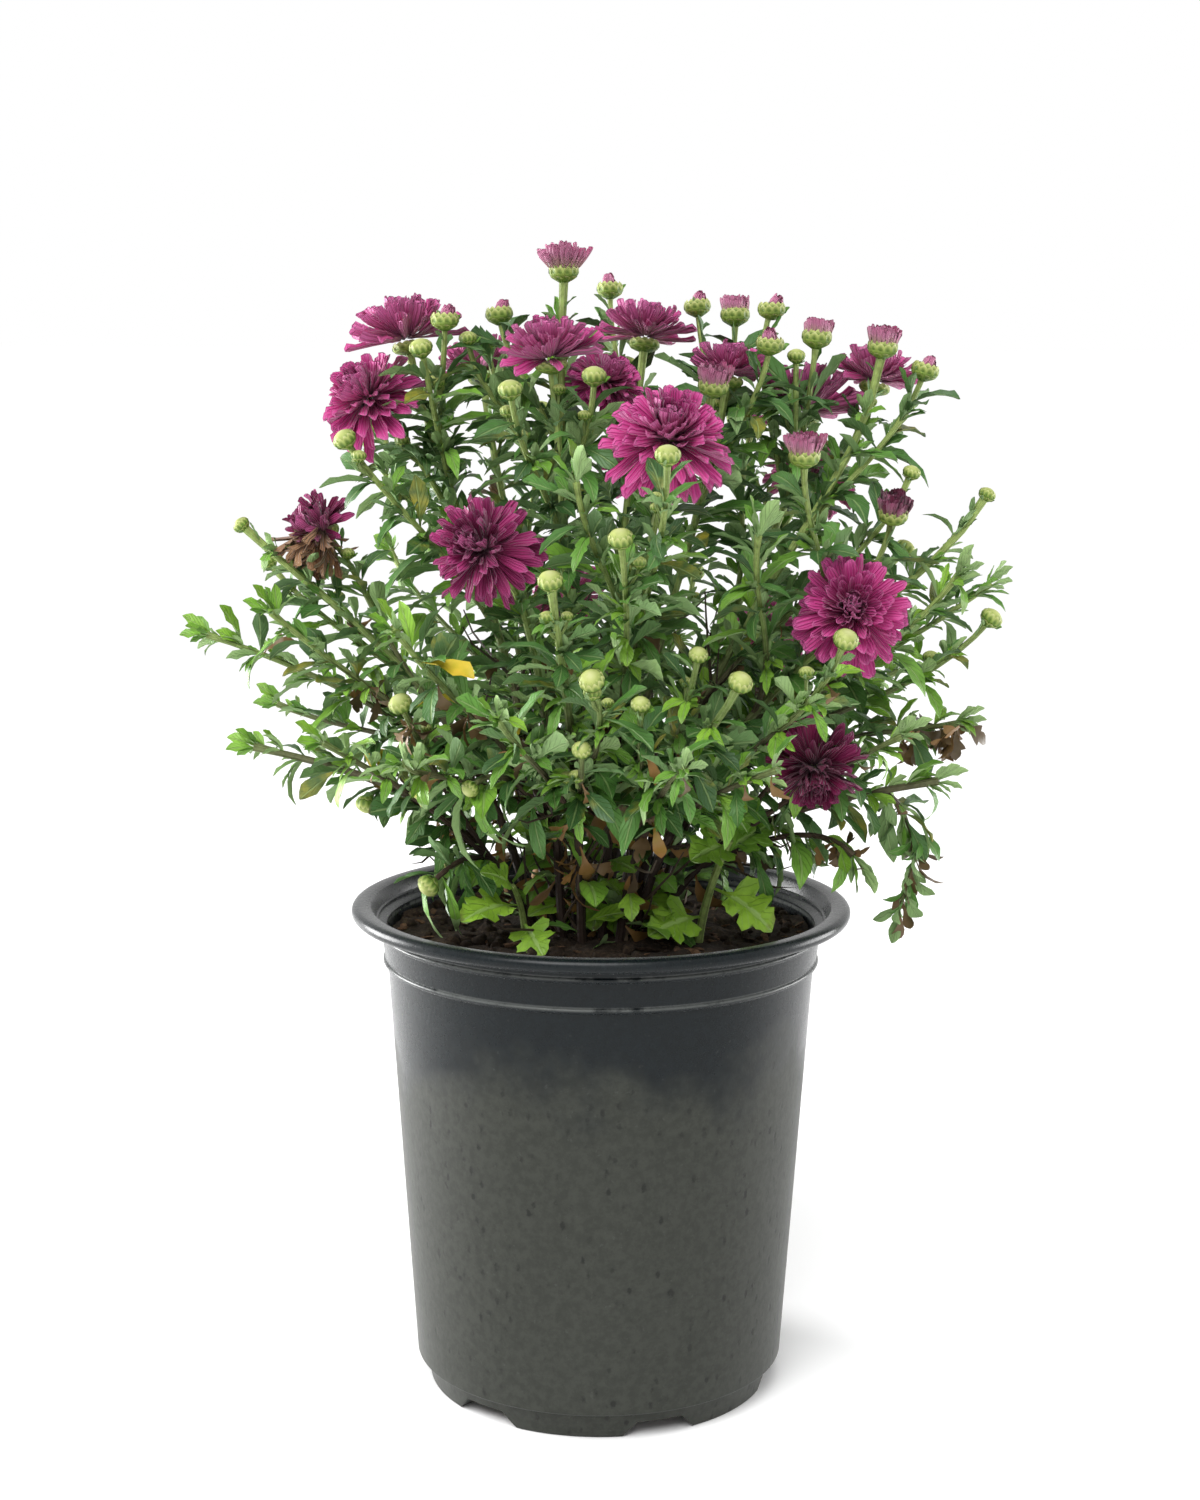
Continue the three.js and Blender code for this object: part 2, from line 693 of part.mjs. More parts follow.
// A bloom that is half open: a flared brush of short petals, over its cup.
function tuftShape(radius) {
  return starLathe([
    [0, 0],
    [tuftCup.radius * 0.9, radius * 0.04],
    [radius, radius * 0.78, 0.84, 0, -radius * 0.1],
    [radius * 0.5, radius * 0.62],
    [0, radius * 0.7],
  ], 8, 2);
}

// A spent bloom whose lower petals hang down.
function wiltedShape(radius) {
  return starLathe([
    [0, 0],
    [radius * 0.5, radius * 0.02],
    [radius * 0.95, -radius * 0.75, 0.72, 0, radius * 0.3],
    [radius * 0.72, radius * 0.12],
    [radius * 0.85, radius * 0.45, 0.7, 1, -radius * 0.1],
    [0, radius * 0.75],
  ], 8, 2);
}

function calyx(place, facing, radius, height) {
  const cup = new THREE.CylinderGeometry(radius, shootRadius * 1.1, height, 5, 1).rotateX(Math.PI / 2);
  return solidOf(aim(cup.translate(0, 0, -height / 2), place, facing));
}

function budShape(place, facing, radius) {
  const globe = new THREE.SphereGeometry(radius, 5, 3).rotateX(Math.PI / 2).scale(1, 1, 0.9);
  return solidOf(aim(globe, place, facing));
}

// The head at the end of a shoot. Green parts join the stem, and petals are a body of their own.
function addHead(tip, green, heads) {
  const place = tipPlace(tip);
  const facing = tipFacing(tip);
  const [kind, radius] = [tip[0], tip[4]];
  if (kind === 'bud' || kind === 'tipped') green.push(keep(budShape(place, facing, radius)));
  if (kind === 'bud' || kind === 'tipped' || kind === 'leafy') return;
  const base = place.clone().addScaledVector(facing, -stalkDrop(tip));
  const shape = { bloom: bloomShape, tuft: tuftShape, wilted: wiltedShape }[kind](radius);
  if (kind === 'tuft') base.addScaledVector(facing, tuftCup.height);
  const cup = kind === 'tuft' ? [tuftCup.radius, tuftCup.height + sink] : [calyxRadius, calyxHeight];
  green.push(keep(calyx(base, facing, ...cup)));
  const seated = base.clone().addScaledVector(facing, seat);
  heads.push({ kind, solid: keep(solidOf(aim(shape, seated, facing))) });
}

// The plant

const group = new THREE.Group();

function addNode(name, solid, color, roughness) {
  const material = new THREE.MeshStandardMaterial({ color, roughness, metalness: 0 });
  const mesh = new THREE.Mesh(geometryOf(solid), material);
  mesh.name = name;
  group.add(mesh);
}

const plan = planPlant();
const stemSolids = stems.map(() => []);
const heads = [];
const holes = [];
const paths = [];

stems.forEach((stem, owner) => {
  const { main, shoots } = plan[owner];
  const body = keep(tube(main, 0, 1, stemRadius, shootRadius, 4, 6));
  stemSolids[owner].push(body);
  paths.push({ owner, curve: main, body, from: 0, tip: stem.tips[0], shoot: 0 });
  const holeRadius = stemRadius + stemHoleClearance;
  holes.push(tube(main, 0, 0.14, holeRadius, holeRadius, 4, 1));
  shoots.forEach((shoot, i) => {
    const side = keep(tube(shoot.curve, 0, 1, shootRadius, shootRadius * 0.85, 3, 4));
    stemSolids[owner].push(side);
    paths.push({ owner, curve: shoot.curve, body: side, from: 0.12, tip: shoot.tip, shoot: i + 1 });
  });
});

paths.forEach(({ owner, tip }) => addHead(tip, stemSolids[owner], heads));

const basalSolids = basalShoots.map((shoot, index) => {
  const [x, y, z] = shoot.head;
  const start = new THREE.Vector3(shoot.foot[0], shoot.foot[1], soilLevel - stemBuried);
  const rise = new THREE.Vector3(shoot.foot[0], shoot.foot[1], soilLevel + 12);
  const curve = new THREE.QuadraticBezierCurve3(start, rise, new THREE.Vector3(x, y, z));
  const body = keep(tube(curve, 0, 1, shoot.radius, shoot.radius * 0.7, 5, 4));
  const holeRadius = shoot.radius + stemHoleClearance;
  holes.push(tube(curve, 0, 0.3, holeRadius, holeRadius, 5, 1));
  const leaves = shoot.leaves.map(([share, turn, length], i) => addLeaf(body, curve, {
    share, turn: THREE.MathUtils.degToRad(turn), spread: 1.15, length, slim: 0.85, arch: 0.12,
    roll: between(-0.3, 0.3, chance(90 + index, i, 1)), kind: 'lobed',
  }));
  return [body, ...leaves.filter(Boolean)];
});

for (const [owner, share, turn, length] of [...deadLeaves, yellowLeaf]) {
  const { body, curve } = paths.find((path) => path.owner === owner && path.shoot === 0);
  const leaf = addLeaf(body, curve, {
    share, turn: THREE.MathUtils.degToRad(turn), spread: 1.9, length, slim: 0.4, arch: 0.25, roll: 0.5,
    rise: -0.5, kind: 'toothed',
  });
  if (leaf) stemSolids[owner].push(leaf);
}

for (const { owner, curve, body, from, tip, shoot } of paths) {
  let start = from;
  const isHigh = tip[3] > foliageFrom + 10;
  while (isHigh && start < 0.9 && curve.getPointAt(start).z < foliageFrom) start += 0.02;
  const bare = tip[0] === 'leafy' ? 2 : 16;
  const leaves = leavesAlong(curve, start, 1 - bare / curve.getLength(), owner, shoot);
  const first = (owner + shoot * 2) % leafEvery;
  for (const leaf of leaves) {
    if (leaf.number % leafEvery !== first) continue;
    const blade = addLeaf(body, curve, leaf);
    if (blade) stemSolids[owner].push(blade);
  }
  if (tip[0] !== 'leafy') continue;
  for (let i = 0; i < 2; i += 1) {
    const blade = addLeaf(body, curve, {
      share: 0.985, turn: i * 2.1 + owner, spread: 0.5, length: 15, slim: 0.34, arch: 0.1, roll: 0,
      kind: 'lance',
    });
    if (blade) stemSolids[owner].push(blade);
  }
}

addNode('pot', makePot(), 0x2b3032, 0.45);
addNode('soil', makeSoil(holes), 0x2e2019, 0.95);
stemSolids.forEach((solids, i) => {
  addNode(`leafy_stem_${String(i + 1).padStart(2, '0')}`, fuse(solids), 0x4f7a3a, 0.6);
});
basalSolids.forEach((solids, i) => addNode(basalShoots[i].name, fuse(solids), 0x6fa238, 0.55));

const looks = {
  bloom: { name: 'bloom', color: 0x8a1f5c, roughness: 0.6 },
  tuft: { name: 'half_open_bloom', color: 0xa8466f, roughness: 0.6 },
  wilted: { name: 'wilted_bloom', color: 0x5c2b33, roughness: 0.8 },
};
const counts = { bloom: 0, tuft: 0, wilted: 0 };
for (const { kind, solid } of heads) {
  counts[kind] += 1;
  const { name, color, roughness } = looks[kind];
  addNode(`${name}_${String(counts[kind]).padStart(2, '0')}`, solid, color, roughness);
}

export default group;
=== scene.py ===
import math
from bisect import bisect_right

import bmesh
import bpy
import numpy as np
from mathutils import Matrix, Vector
from mathutils.noise import noise


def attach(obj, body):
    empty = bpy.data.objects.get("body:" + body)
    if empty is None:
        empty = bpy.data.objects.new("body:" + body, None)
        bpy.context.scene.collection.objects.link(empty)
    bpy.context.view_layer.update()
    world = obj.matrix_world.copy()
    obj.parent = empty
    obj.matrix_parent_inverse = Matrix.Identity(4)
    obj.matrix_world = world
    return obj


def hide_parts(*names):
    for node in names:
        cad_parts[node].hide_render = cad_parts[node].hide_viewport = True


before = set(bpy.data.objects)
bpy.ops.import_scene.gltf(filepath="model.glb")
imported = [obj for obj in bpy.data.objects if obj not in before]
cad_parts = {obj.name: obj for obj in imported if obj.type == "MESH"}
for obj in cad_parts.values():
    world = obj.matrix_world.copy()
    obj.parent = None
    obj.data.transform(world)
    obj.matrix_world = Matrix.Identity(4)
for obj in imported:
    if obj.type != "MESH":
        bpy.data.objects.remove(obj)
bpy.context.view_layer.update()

# A garden chrysanthemum in a black nursery pot. The plan is in millimetres, with the origin in the
# middle of the pot's underside, and each finished piece is scaled to metres.

mm = 0.001
up = Vector((0, 0, 1))
skew = Vector((0.31, 0.87, 0.2))                 # a way that no stem points, to measure turns from
golden = math.radians(137.5)

plant = {
    "soilLevel": 153.5,
    "buried": 9,
    "stemRadius": 1.6,
    "shootRadius": 1.15,
    "foliageFrom": 204,                          # stems are bare below this height
    "greening": 130,                             # the height over which their bark turns green
    "leafSpacing": 6.5,
    "leafLength": (15, 25),
    "branchRange": (0.3, 0.84),
    "branchReach": 34,
    "tuftDrop": 4,
    "stemRoom": 2.1,                             # room kept round stems, shoots and open petals
    "shootRoom": 1.6,
    "petalRoom": 6,
    "samples": 24,
    "bendTries": 40,
    "bendStep": 0.7,
}

# Each stem: the place of its foot in the soil, then its tips. A tip has its kind, its place,
# its radius and the way that it faces in tenths. The first tip ends the stem itself.
stems = [
    ((-14, -5), [
        ("bloom", -65, 10, 352, 18, -2, 1, 10),
        ("bloom", -77, -10, 331, 17, -6, -5, 7),
        ("tipped", -50, -15, 353, 4, 0, 0, 10),
        ("bud", -57, -22, 344, 4, -2, -2, 10),
        ("bud", -80, -32, 316, 4, -5, -3, 8)]),
    ((-20, -9), [
        ("bud", -117, 0, 287, 3, -6, 0, 6),
        ("wilted", -93, 0, 288, 12, -5, -4, 6),
        ("leafy", -128, -6, 252, 0, -9, 0, 3),
        ("leafy", -104, -30, 262, 0, -6, -3, 6)]),
    ((-19, -16), [
        ("leafy", -113, -10, 216, 0, -8, 0, 2),
        ("bud", -62, -50, 236, 4, -3, -5, 8),
        ("bud", -75, -24, 200, 4, -2, -2, -9),
        ("leafy", -85, -62, 226, 0, -5, -5, 4),
        ("bud", -54, -45, 178, 4, -6, -4, -5)]),
    ((-6, -4), [
        ("tuft", -13, 5, 369.5, 10, 0, 0, 10),
        ("bud", -43, -10, 347, 3, -1, 0, 10),
        ("tipped", -34, 12, 355, 4, -1, 1, 10),
        ("bud", -38, 26, 345, 3, 0, 1, 10)]),
    ((-1, 1), [
        ("bloom", 14, 30, 352, 15, 1, 2, 10),
        ("tipped", 2, 56, 364, 4, 0, 1, 10),
        ("leafy", -14, 42, 330, 0, 0, 3, 10)]),
    ((-8, -12), [
        ("bloom", -17, -22, 346, 16, -1, -1, 10),
        ("bloom", 2, 6, 336, 13, 4, -4, 8),
        ("bud", -28, -56, 332, 4, -1, -2, 10),
        ("bud", -3, -46, 336, 4, 0, -2, 10)]),
    ((0, -17), [
        ("bloom", 20, -72, 322, 19, 1, -6, 8),
        ("bud", 18, -104, 315, 4, 0, -3, 9),
        ("bud", 5, -98, 291, 4, -1, -4, 9),
        ("leafy", -8, -76, 306, 0, -1, -4, 9)]),
    ((-6, -23), [
        ("bud", -15, -100, 279, 5, -1, -4, 9),
        ("bud", -3, -104, 251, 5, -2, -6, 6),
        ("bud", -6, -92, 229, 3, 0, -6, 6),
        ("leafy", -30, -104, 240, 0, -2, -7, 5)]),
    ((-12, -21), [
        ("bloom", -37, -70, 287, 17, -4, -8, 4),
        ("bud", -40, -62, 212, 3, -3, -4, -3),
        ("leafy", -58, -88, 224, 0, -4, -6, 4),
        ("leafy", -62, -72, 262, 0, -4, -4, 7)]),
    ((5, -22), [
        ("bud", 40, -92, 249, 5, 3, -5, 8),
        ("bud", 28, -84, 256, 3, 1, -5, 8),
        ("bud", 11, -96, 243, 3, 0, -5, 8),
        ("leafy", 24, -106, 226, 0, 2, -8, 3),
        ("leafy", 52, -84, 222, 0, 5, -6, 3)]),
    ((1, -7), [
        ("bloom", 40, -4, 340, 13, 1, 0, 10),
        ("tuft", 43, 22, 356, 6, 0, 1, 10),
        ("tuft", 34, -30, 334, 6.5, 1, -3, 10),
        ("tipped", 31, 34, 358, 4, -1, 1, 10),
        ("tipped", 52, -18, 346, 4, 1, -1, 10)]),
    ((7, -4), [
        ("bloom", 66, 22, 329, 19, 0, 3, 10),
        ("tuft", 68, -2, 349, 5.5, 1, 0, 10),
        ("tipped", 54, 8, 357, 4, 0, 0, 10),
        ("bud", 61, -8, 342, 3, 0, -1, 10),
        ("leafy", 50, 42, 316, 0, 3, 4, 9)]),
    ((9, -10), [
        ("tuft", 88, -12, 346, 6.5, 1, -1, 10),
        ("bloom", 90, 18, 338, 14, 2, 1, 10),
        ("tipped", 102, -8, 338, 4, 3, 0, 10),
        ("bud", 97, -20, 306, 3, 3, -2, 9)]),
    ((9, -17), [
        ("bloom", 75, -62, 268, 18, -1, -9, 3),
        ("tuft", 60, -60, 314, 7, 0, -2, 10),
        ("tuft", 90, -34, 295, 6.5, 1, -4, 9),
        ("bud", 70, -95, 262, 4, 2, -5, 8),
        ("leafy", 46, -70, 290, 0, 1, -5, 9)]),
    ((14, -13), [
        ("leafy", 108, -22, 208, 0, 7, -2, 2),
        ("bloom", 65, -58, 216, 15, -1, -8, -5),
        ("leafy", 92, -56, 228, 0, 6, -5, 4),
        ("leafy", 80, -34, 186, 0, 5, -3, -5),
        ("leafy", 101, -6, 188, 0, 3, 0, -9)]),
    ((14, -6), [
        ("bud", 124, 0, 298, 3, 4, 0, 8),
        ("bud", 125, -10, 259, 4, 5, -1, 7),
        ("leafy", 128, 12, 268, 0, 7, 2, 5),
        ("leafy", 118, 8, 222, 0, 8, 1, 1),
        ("leafy", 110, -40, 276, 0, 5, -3, 8)]),
    ((-11, 2), [
        ("bloom", -42, 58, 340, 15, -1, 3, 10),
        ("bloom", -84, 70, 326, 14, -4, 5, 8),
        ("bud", -22, 84, 322, 4, 0, 4, 9),
        ("bud", -84, 42, 318, 4, -4, 2, 9),
        ("leafy", -76, 84, 272, 0, -4, 6, 7)]),
    ((-3, 7), [
        ("bloom", 16, 92, 306, 17, 1, 6, 8),
        ("bud", -40, 112, 268, 4, -2, 7, 6),
        ("bud", 8, 66, 338, 4, 0, 3, 10),
        ("bloom", -14, 112, 254, 15, -1, 9, 3),
        ("leafy", 24, 116, 240, 0, 1, 8, 4)]),
    ((5, 4), [
        ("bloom", 74, 66, 304, 17, 4, 5, 8),
        ("bud", 44, 72, 328, 4, 2, 3, 10),
        ("bud", 104, 50, 276, 4, 6, 3, 7),
        ("bloom", 62, 98, 244, 15, 3, 8, 3),
        ("leafy", 104, 62, 232, 0, 7, 4, 3)]),
    ((-18, -1), [
        ("bloom", -45, 84, 275, 16, -4, 8, 5),
        ("leafy", -70, 96, 222, 0, -5, 7, 3),
        ("leafy", -112, 44, 222, 0, -8, 3, 3),
        ("bud", -112, 28, 272, 3, -6, 2, 7)]),
    ((2, 12), [
        ("leafy", -6, 118, 216, 0, 0, 8, 3),
        ("leafy", 50, 104, 212, 0, 4, 7, 3),
        ("leafy", -42, 100, 224, 0, -4, 7, 4),
        ("bud", 34, 112, 262, 4, 2, 7, 7)]),
]


def chance(a, b, c):                             # 0 to 1, always the same for the same numbers
    whole = 0xFFFFFFFF
    word = ((a * 73856093) ^ (b * 19349663) ^ (c * 83492791)) & whole
    word = (word + 0x6D2B79F5) & whole
    mixed = ((word ^ (word >> 15)) * (word | 1)) & whole
    mixed ^= (mixed + (((mixed ^ (mixed >> 7)) * (mixed | 61)) & whole)) & whole
    return (mixed ^ (mixed >> 14)) / 4294967296


def between(low, high, share):
    return low + (high - low) * share


def drawn(low, high, *numbers):                  # a draw from low to high
    return between(low, high, chance(*numbers))


def sway(width, *numbers):                       # a draw to either side of 0
    return (chance(*numbers) - 0.5) * width


class Path:                                      # a cubic curve that is read by its own length
    def __init__(self, *ends):
        self.ends = ends
        spots = [self.at(i / 200) for i in range(201)]
        self.marks = [0]
        for one, two in zip(spots, spots[1:]):
            self.marks.append(self.marks[-1] + (two - one).length)
        self.length = self.marks[-1]

    def at(self, t):
        a, b, c, d = self.ends
        s = 1 - t
        return a * s ** 3 + b * 3 * s * s * t + c * 3 * s * t * t + d * t ** 3

    def inner(self, share):
        goal = share * self.length
        i = min(bisect_right(self.marks, goal) - 1, 199)
        return (i + (goal - self.marks[i]) / (self.marks[i + 1] - self.marks[i])) / 200

    def point(self, share):
        return self.at(self.inner(share))

    def heading(self, share):
        t = self.inner(share)
        return (self.at(min(t + 1e-3, 1)) - self.at(max(t - 1e-3, 0))).normalized()


# The plan of the stems, which is the plan that the frame was made from

def tipPlace(tip):
    return Vector(tip[1:4])


def tipFacing(tip):
    return Vector(tip[5:8]).normalized()


def stalkEnd(tip):                               # the top of the stalk, below the middle of its head
    drop = {"bloom": tip[4] * 0.38, "wilted": tip[4] * 0.38, "tuft": plant["tuftDrop"]}.get(tip[0], 0)
    return tipPlace(tip) - tipFacing(tip) * drop


def mainPath(foot, tip, bow):
    start = Vector((*foot, plant["soilLevel"] - plant["buried"]))
    end = stalkEnd(tip)
    span = end - start
    rise = span.z * 0.42 + span.xy.length * 0.3
    first = start + Vector((span.x * 0.14, span.y * 0.14, rise)) + bow
    return Path(start, first, end - tipFacing(tip) * span.length * 0.24 + bow, end)


def branchShare(main, tip):                      # where a side shoot for this tip leaves the stem
    def miss(share):
        gap = tipPlace(tip) - main.point(share)
        return abs(gap.z - 0.6 * gap.xy.length - plant["branchReach"])
    return min((between(*plant["branchRange"], i / 10) for i in range(11)), key=miss)


def shootPath(main, share, tip, bow):
    start, end = main.point(share), stalkEnd(tip)
    span = end - start
    first = start + main.heading(share) * span.length * 0.2 + span * 0.18 + bow
    return Path(start, first, end - tipFacing(tip) * span.length * 0.34 + bow, end)


taken = []                                       # x, y, z, radius, number of the head, number of the stem


def isFree(spots, radius, owner, head, skip):
    others = np.array(taken)
    others = others[np.where(others[:, 4] >= 0, others[:, 4] != head, others[:, 5] != owner)]
    spots = np.array(spots[skip:])
    gaps = np.linalg.norm(spots[:, None] - others[None, :, :3], axis=2) - others[:, 3] - radius
    return gaps.min() >= 0


def clearPath(make, owner, head, radius, skip):  # bends a path until it is clear of the others
    for i in range(plant["bendTries"]):
        turn = i * golden
        path = make(Vector((math.cos(turn), math.sin(turn), 0.3)) * i * plant["bendStep"])
        spots = [path.point(k / plant["samples"]) for k in range(plant["samples"] + 1)]
        if isFree(spots, radius, owner, head, skip):
            break
    taken.extend((*spot, radius, -1, owner) for spot in spots)
    return path


def takeHead(tip, head):
    side = skew.cross(tipFacing(tip)).normalized()
    middle = tipPlace(tip)
    taken.append((*middle, plant["petalRoom"], head, -1))
    if tip[0] in ("bloom", "wilted"):
        for i in range(8):
            spoke = Matrix.Rotation(i * math.pi / 4, 3, tipFacing(tip)) @ side
            taken.append((*(middle + spoke * tip[4] * 0.66), plant["petalRoom"], head, -1))


def planPlant():
    for owner, (foot, tips) in enumerate(stems):
        for number, tip in enumerate(tips):
            if tip[0] != "leafy":
                takeHead(tip, owner * 16 + number)
    paths = []
    for owner, (foot, tips) in enumerate(stems):
        main = clearPath(lambda bow: mainPath(foot, tips[0], bow), owner, owner * 16, plant["stemRoom"], 0)
        paths.append([(main, tips[0])])
    for owner, (foot, tips) in enumerate(stems):
        main = paths[owner][0][0]
        for number, tip in enumerate(tips[1:], 1):
            share = branchShare(main, tip)
            make = lambda bow: shootPath(main, share, tip, bow)
            paths[owner].append((clearPath(make, owner, owner * 16 + number, plant["shootRoom"], 2), tip))
    return paths


paths = planPlant()
print("plan:", sum(len(some) for some in paths), "stems and shoots")


# Shader maths

class Signal:                                    # a node's output that Python can calculate with
    def __init__(self, tree, socket):
        self.tree = tree
        self.socket = socket

    def node(self, kind, settings=None, output=0, **values):
        return addNode(self.tree, kind, settings, output, **values)

    def maths(self, operation, *terms):
        made = self.tree.nodes.new("ShaderNodeMath")
        made.operation = operation
        for slot, term in zip(made.inputs, terms):
            feed(self.tree, slot, term)
        return Signal(self.tree, made.outputs[0])

    def __add__(self, other):
        return self.maths("ADD", self, other)

    def __sub__(self, other):
        return self.maths("SUBTRACT", self, other)

    def __rsub__(self, other):
        return self.maths("SUBTRACT", other, self)

    def __mul__(self, other):
        return self.maths("MULTIPLY", self, other)

    def __gt__(self, other):
        return self.maths("GREATER_THAN", self, other)

    def __abs__(self):
        return self.maths("ABSOLUTE", self)

    __radd__ = __add__
    __rmul__ = __mul__

    def wave(self):
        return self.maths("SINE", self)

    def rest(self):                              # what is over the last whole number
        return self.maths("FRACT", self)

    def step(self, low, high):                   # 0 below low, 1 above high, and smooth between
        return self.node("ShaderNodeMapRange", {"interpolation_type": "SMOOTHSTEP"}, Value=self,
                         **{"From Min": low, "From Max": high})

    def blend(self, one, two):                   # from colour one to colour two by this share
        return self.node("ShaderNodeMix", {"data_type": "RGBA"}, 2, Factor=self, A=one, B=two)

    def ramp(self, *stops):
        return self.node("ShaderNodeValToRGB", {"stops": stops}, Fac=self)


def feed(tree, slot, value):
    if isinstance(value, Signal):
        tree.links.new(value.socket, slot)
    elif slot.type == "RGBA" and len(value) == 3:
        slot.default_value = (*value, 1)
    else:
        slot.default_value = value


def addNode(tree, kind, settings=None, output=0, **values):
    made = tree.nodes.new(kind)
    for name, value in (settings or {}).items():
        if name == "stops":
            stops = made.color_ramp.elements
            while len(stops) < len(value):
                stops.new(1)
            for stop, (place, colour) in zip(stops, value):
                stop.position = place
                stop.color = (*colour, 1)
        else:
            setattr(made, name, value)
    for name, value in values.items():
        feed(tree, [slot for slot in made.inputs if slot.name == name and slot.enabled][0], value)
    outputs = [slot for slot in made.outputs if slot.enabled] if kind == "ShaderNodeMix" else made.outputs
    return Signal(tree, outputs[0 if kind == "ShaderNodeMix" else output])


class Finish:                                    # a material, and what its pattern can start from
    def __init__(self, name, **values):
        self.material = bpy.data.materials.new(name)
        self.material.use_nodes = True
        self.tree = self.material.node_tree
        self.shader = self.tree.nodes["Principled BSDF"]
        for key, value in values.items():
            self.set(key, value)
        self.place = addNode(self.tree, "ShaderNodeTexCoord", output=3)
        spot = self.place.node("ShaderNodeSeparateXYZ", Vector=self.place)
        self.height = Signal(self.tree, spot.socket.node.outputs[2])

    def set(self, key, value):
        feed(self.tree, self.shader.inputs[key.replace("_", " ")], value)

    def attribute(self, name):
        return addNode(self.tree, "ShaderNodeAttribute", {"attribute_name": name}, 2)

    def faceMap(self):                           # across and along a blade, and 1 on its underside
        where = addNode(self.tree, "ShaderNodeUVMap", {"uv_map": "faceMap"})
        parts = where.node("ShaderNodeSeparateXYZ", Vector=where).socket.node.outputs
        across, along = Signal(self.tree, parts[0]), Signal(self.tree, parts[1])
        under = across > 1.0
        return across - under, along, under

    def vector(self, x, y, z):
        return addNode(self.tree, "ShaderNodeCombineXYZ", X=x, Y=y, Z=z)

    def noise(self, scale, detail=3.0, rough=0.55, at=None):
        return self.place.node("ShaderNodeTexNoise", Vector=at or self.place, Scale=scale, Detail=detail,
                               Roughness=rough)

    def bump(self, height, distance, strength=1.0):
        self.set("Normal", height.node("ShaderNodeBump", Height=height, Distance=distance,
                                       Strength=strength))


def multiply(tone, by):
    kind = {"data_type": "RGBA", "blend_type": "MULTIPLY"}
    return tone.node("ShaderNodeMix", kind, Factor=1.0, A=tone, B=by)


def makeLeafSkin(name, lift):
    skin = Finish(name, Specular_IOR_Level=0.36)
    across, along, under = skin.faceMap()
    age = skin.attribute("age")
    patch = skin.noise(150.0)
    # Ages near 0.66 give the darkest green, which the inner leaves get as painted shade inside the plant.
    flesh = (age + patch * 0.1 - 0.05).ramp(
        (0.0, (0.33, 0.55, 0.045)), (0.2, (0.22, 0.44, 0.05)), (0.42, (0.115, 0.28, 0.052)),
        (0.66, (0.042, 0.115, 0.03)), (0.74, (0.70, 0.52, 0.03)), (0.84, (0.38, 0.19, 0.055)),
        (0.92, (0.20, 0.115, 0.05)), (1.0, (0.11, 0.075, 0.042)))
    side = abs(across - 0.5)
    living = 1 - age.step(0.66, 0.74)
    rib = (1 - side.step(0.02, 0.08)) * living
    lines = (along * 7 - side * 5).rest()
    veins = (1 - lines.step(0.0, 0.2)) * side.step(0.03, 0.12) * living
    tone = patch.step(0.35, 0.7).blend(multiply(flesh, (0.62, 0.68, 0.6)), flesh)
    tone = (rib * 0.5 + veins * 0.2).blend(tone, (0.36 * lift, 0.50 * lift, 0.19 * lift))
    scorch = along.step(0.8, 1.0) * patch.step(0.56, 0.66) * 0.7
    tone = scorch.blend(tone, (0.14, 0.085, 0.04))
    shade = 1 - age.step(0.34, 0.62) * 0.8
    skin.set("Base_Color", (under * living * shade * 0.75).blend(tone, (0.31, 0.44, 0.20)))
    skin.set("Roughness", 0.36 + under * 0.3 + patch * 0.14)
    skin.bump(patch * 0.35 - rib * 0.6 - veins * 0.4, 0.0006, 0.9)
    return skin.material


def makeStemBark():
    bark = Finish("stemBark", Roughness=0.6, Specular_IOR_Level=0.25)
    across, along, under = bark.faceMap()
    age = bark.attribute("age")
    ridges = (across * 44).wave()
    grain = bark.noise(420.0)
    flesh = age.ramp(
        (0.0, (0.32, 0.43, 0.12)), (0.3, (0.20, 0.29, 0.08)), (0.55, (0.12, 0.12, 0.06)),
        (0.75, (0.085, 0.055, 0.038)), (1.0, (0.04, 0.026, 0.02)))
    pale = (ridges.step(0.2, 1.0) * 0.3).blend(flesh, (0.42, 0.50, 0.22))
    tint = age.step(0.3, 0.6).blend(pale, flesh)
    bark.set("Base_Color", grain.step(0.3, 0.75).blend(tint, multiply(tint, (0.62, 0.6, 0.58))))
    bark.bump(ridges * 0.4 + grain * age, 0.0005, 0.9)
    return bark.material


def makeBudScales():
    scales = Finish("budScales", Roughness=0.5, Specular_IOR_Level=0.25)
    across, along, under = scales.faceMap()
    age = scales.attribute("age")
    grain = scales.noise(500.0)
    side = abs(across - 0.5)
    fresh = along.ramp((0.0, (0.08, 0.16, 0.022)), (0.4, (0.20, 0.30, 0.05)), (0.8, (0.40, 0.45, 0.14)),
                       (1.0, (0.50, 0.52, 0.24)))
    blush = along.step(0.8, 1.0) * age.step(0.3, 0.5) * 0.7
    body = blush.blend(fresh, (0.60, 0.27, 0.38))
    streak = (1 - side.step(0.06, 0.34)) * (1 - along.step(0.45, 0.95))
    body = (streak * 0.85).blend(body, (0.075, 0.15, 0.02))
    body = age.step(0.6, 0.8).blend(body, (0.26, 0.15, 0.07))
    scales.set("Base_Color", (grain.step(0.5, 0.7) * 0.3).blend(body, multiply(body, (0.6, 0.62, 0.5))))
    scales.bump(grain * 0.3 - streak * 0.5, 0.0005)
    return scales.material


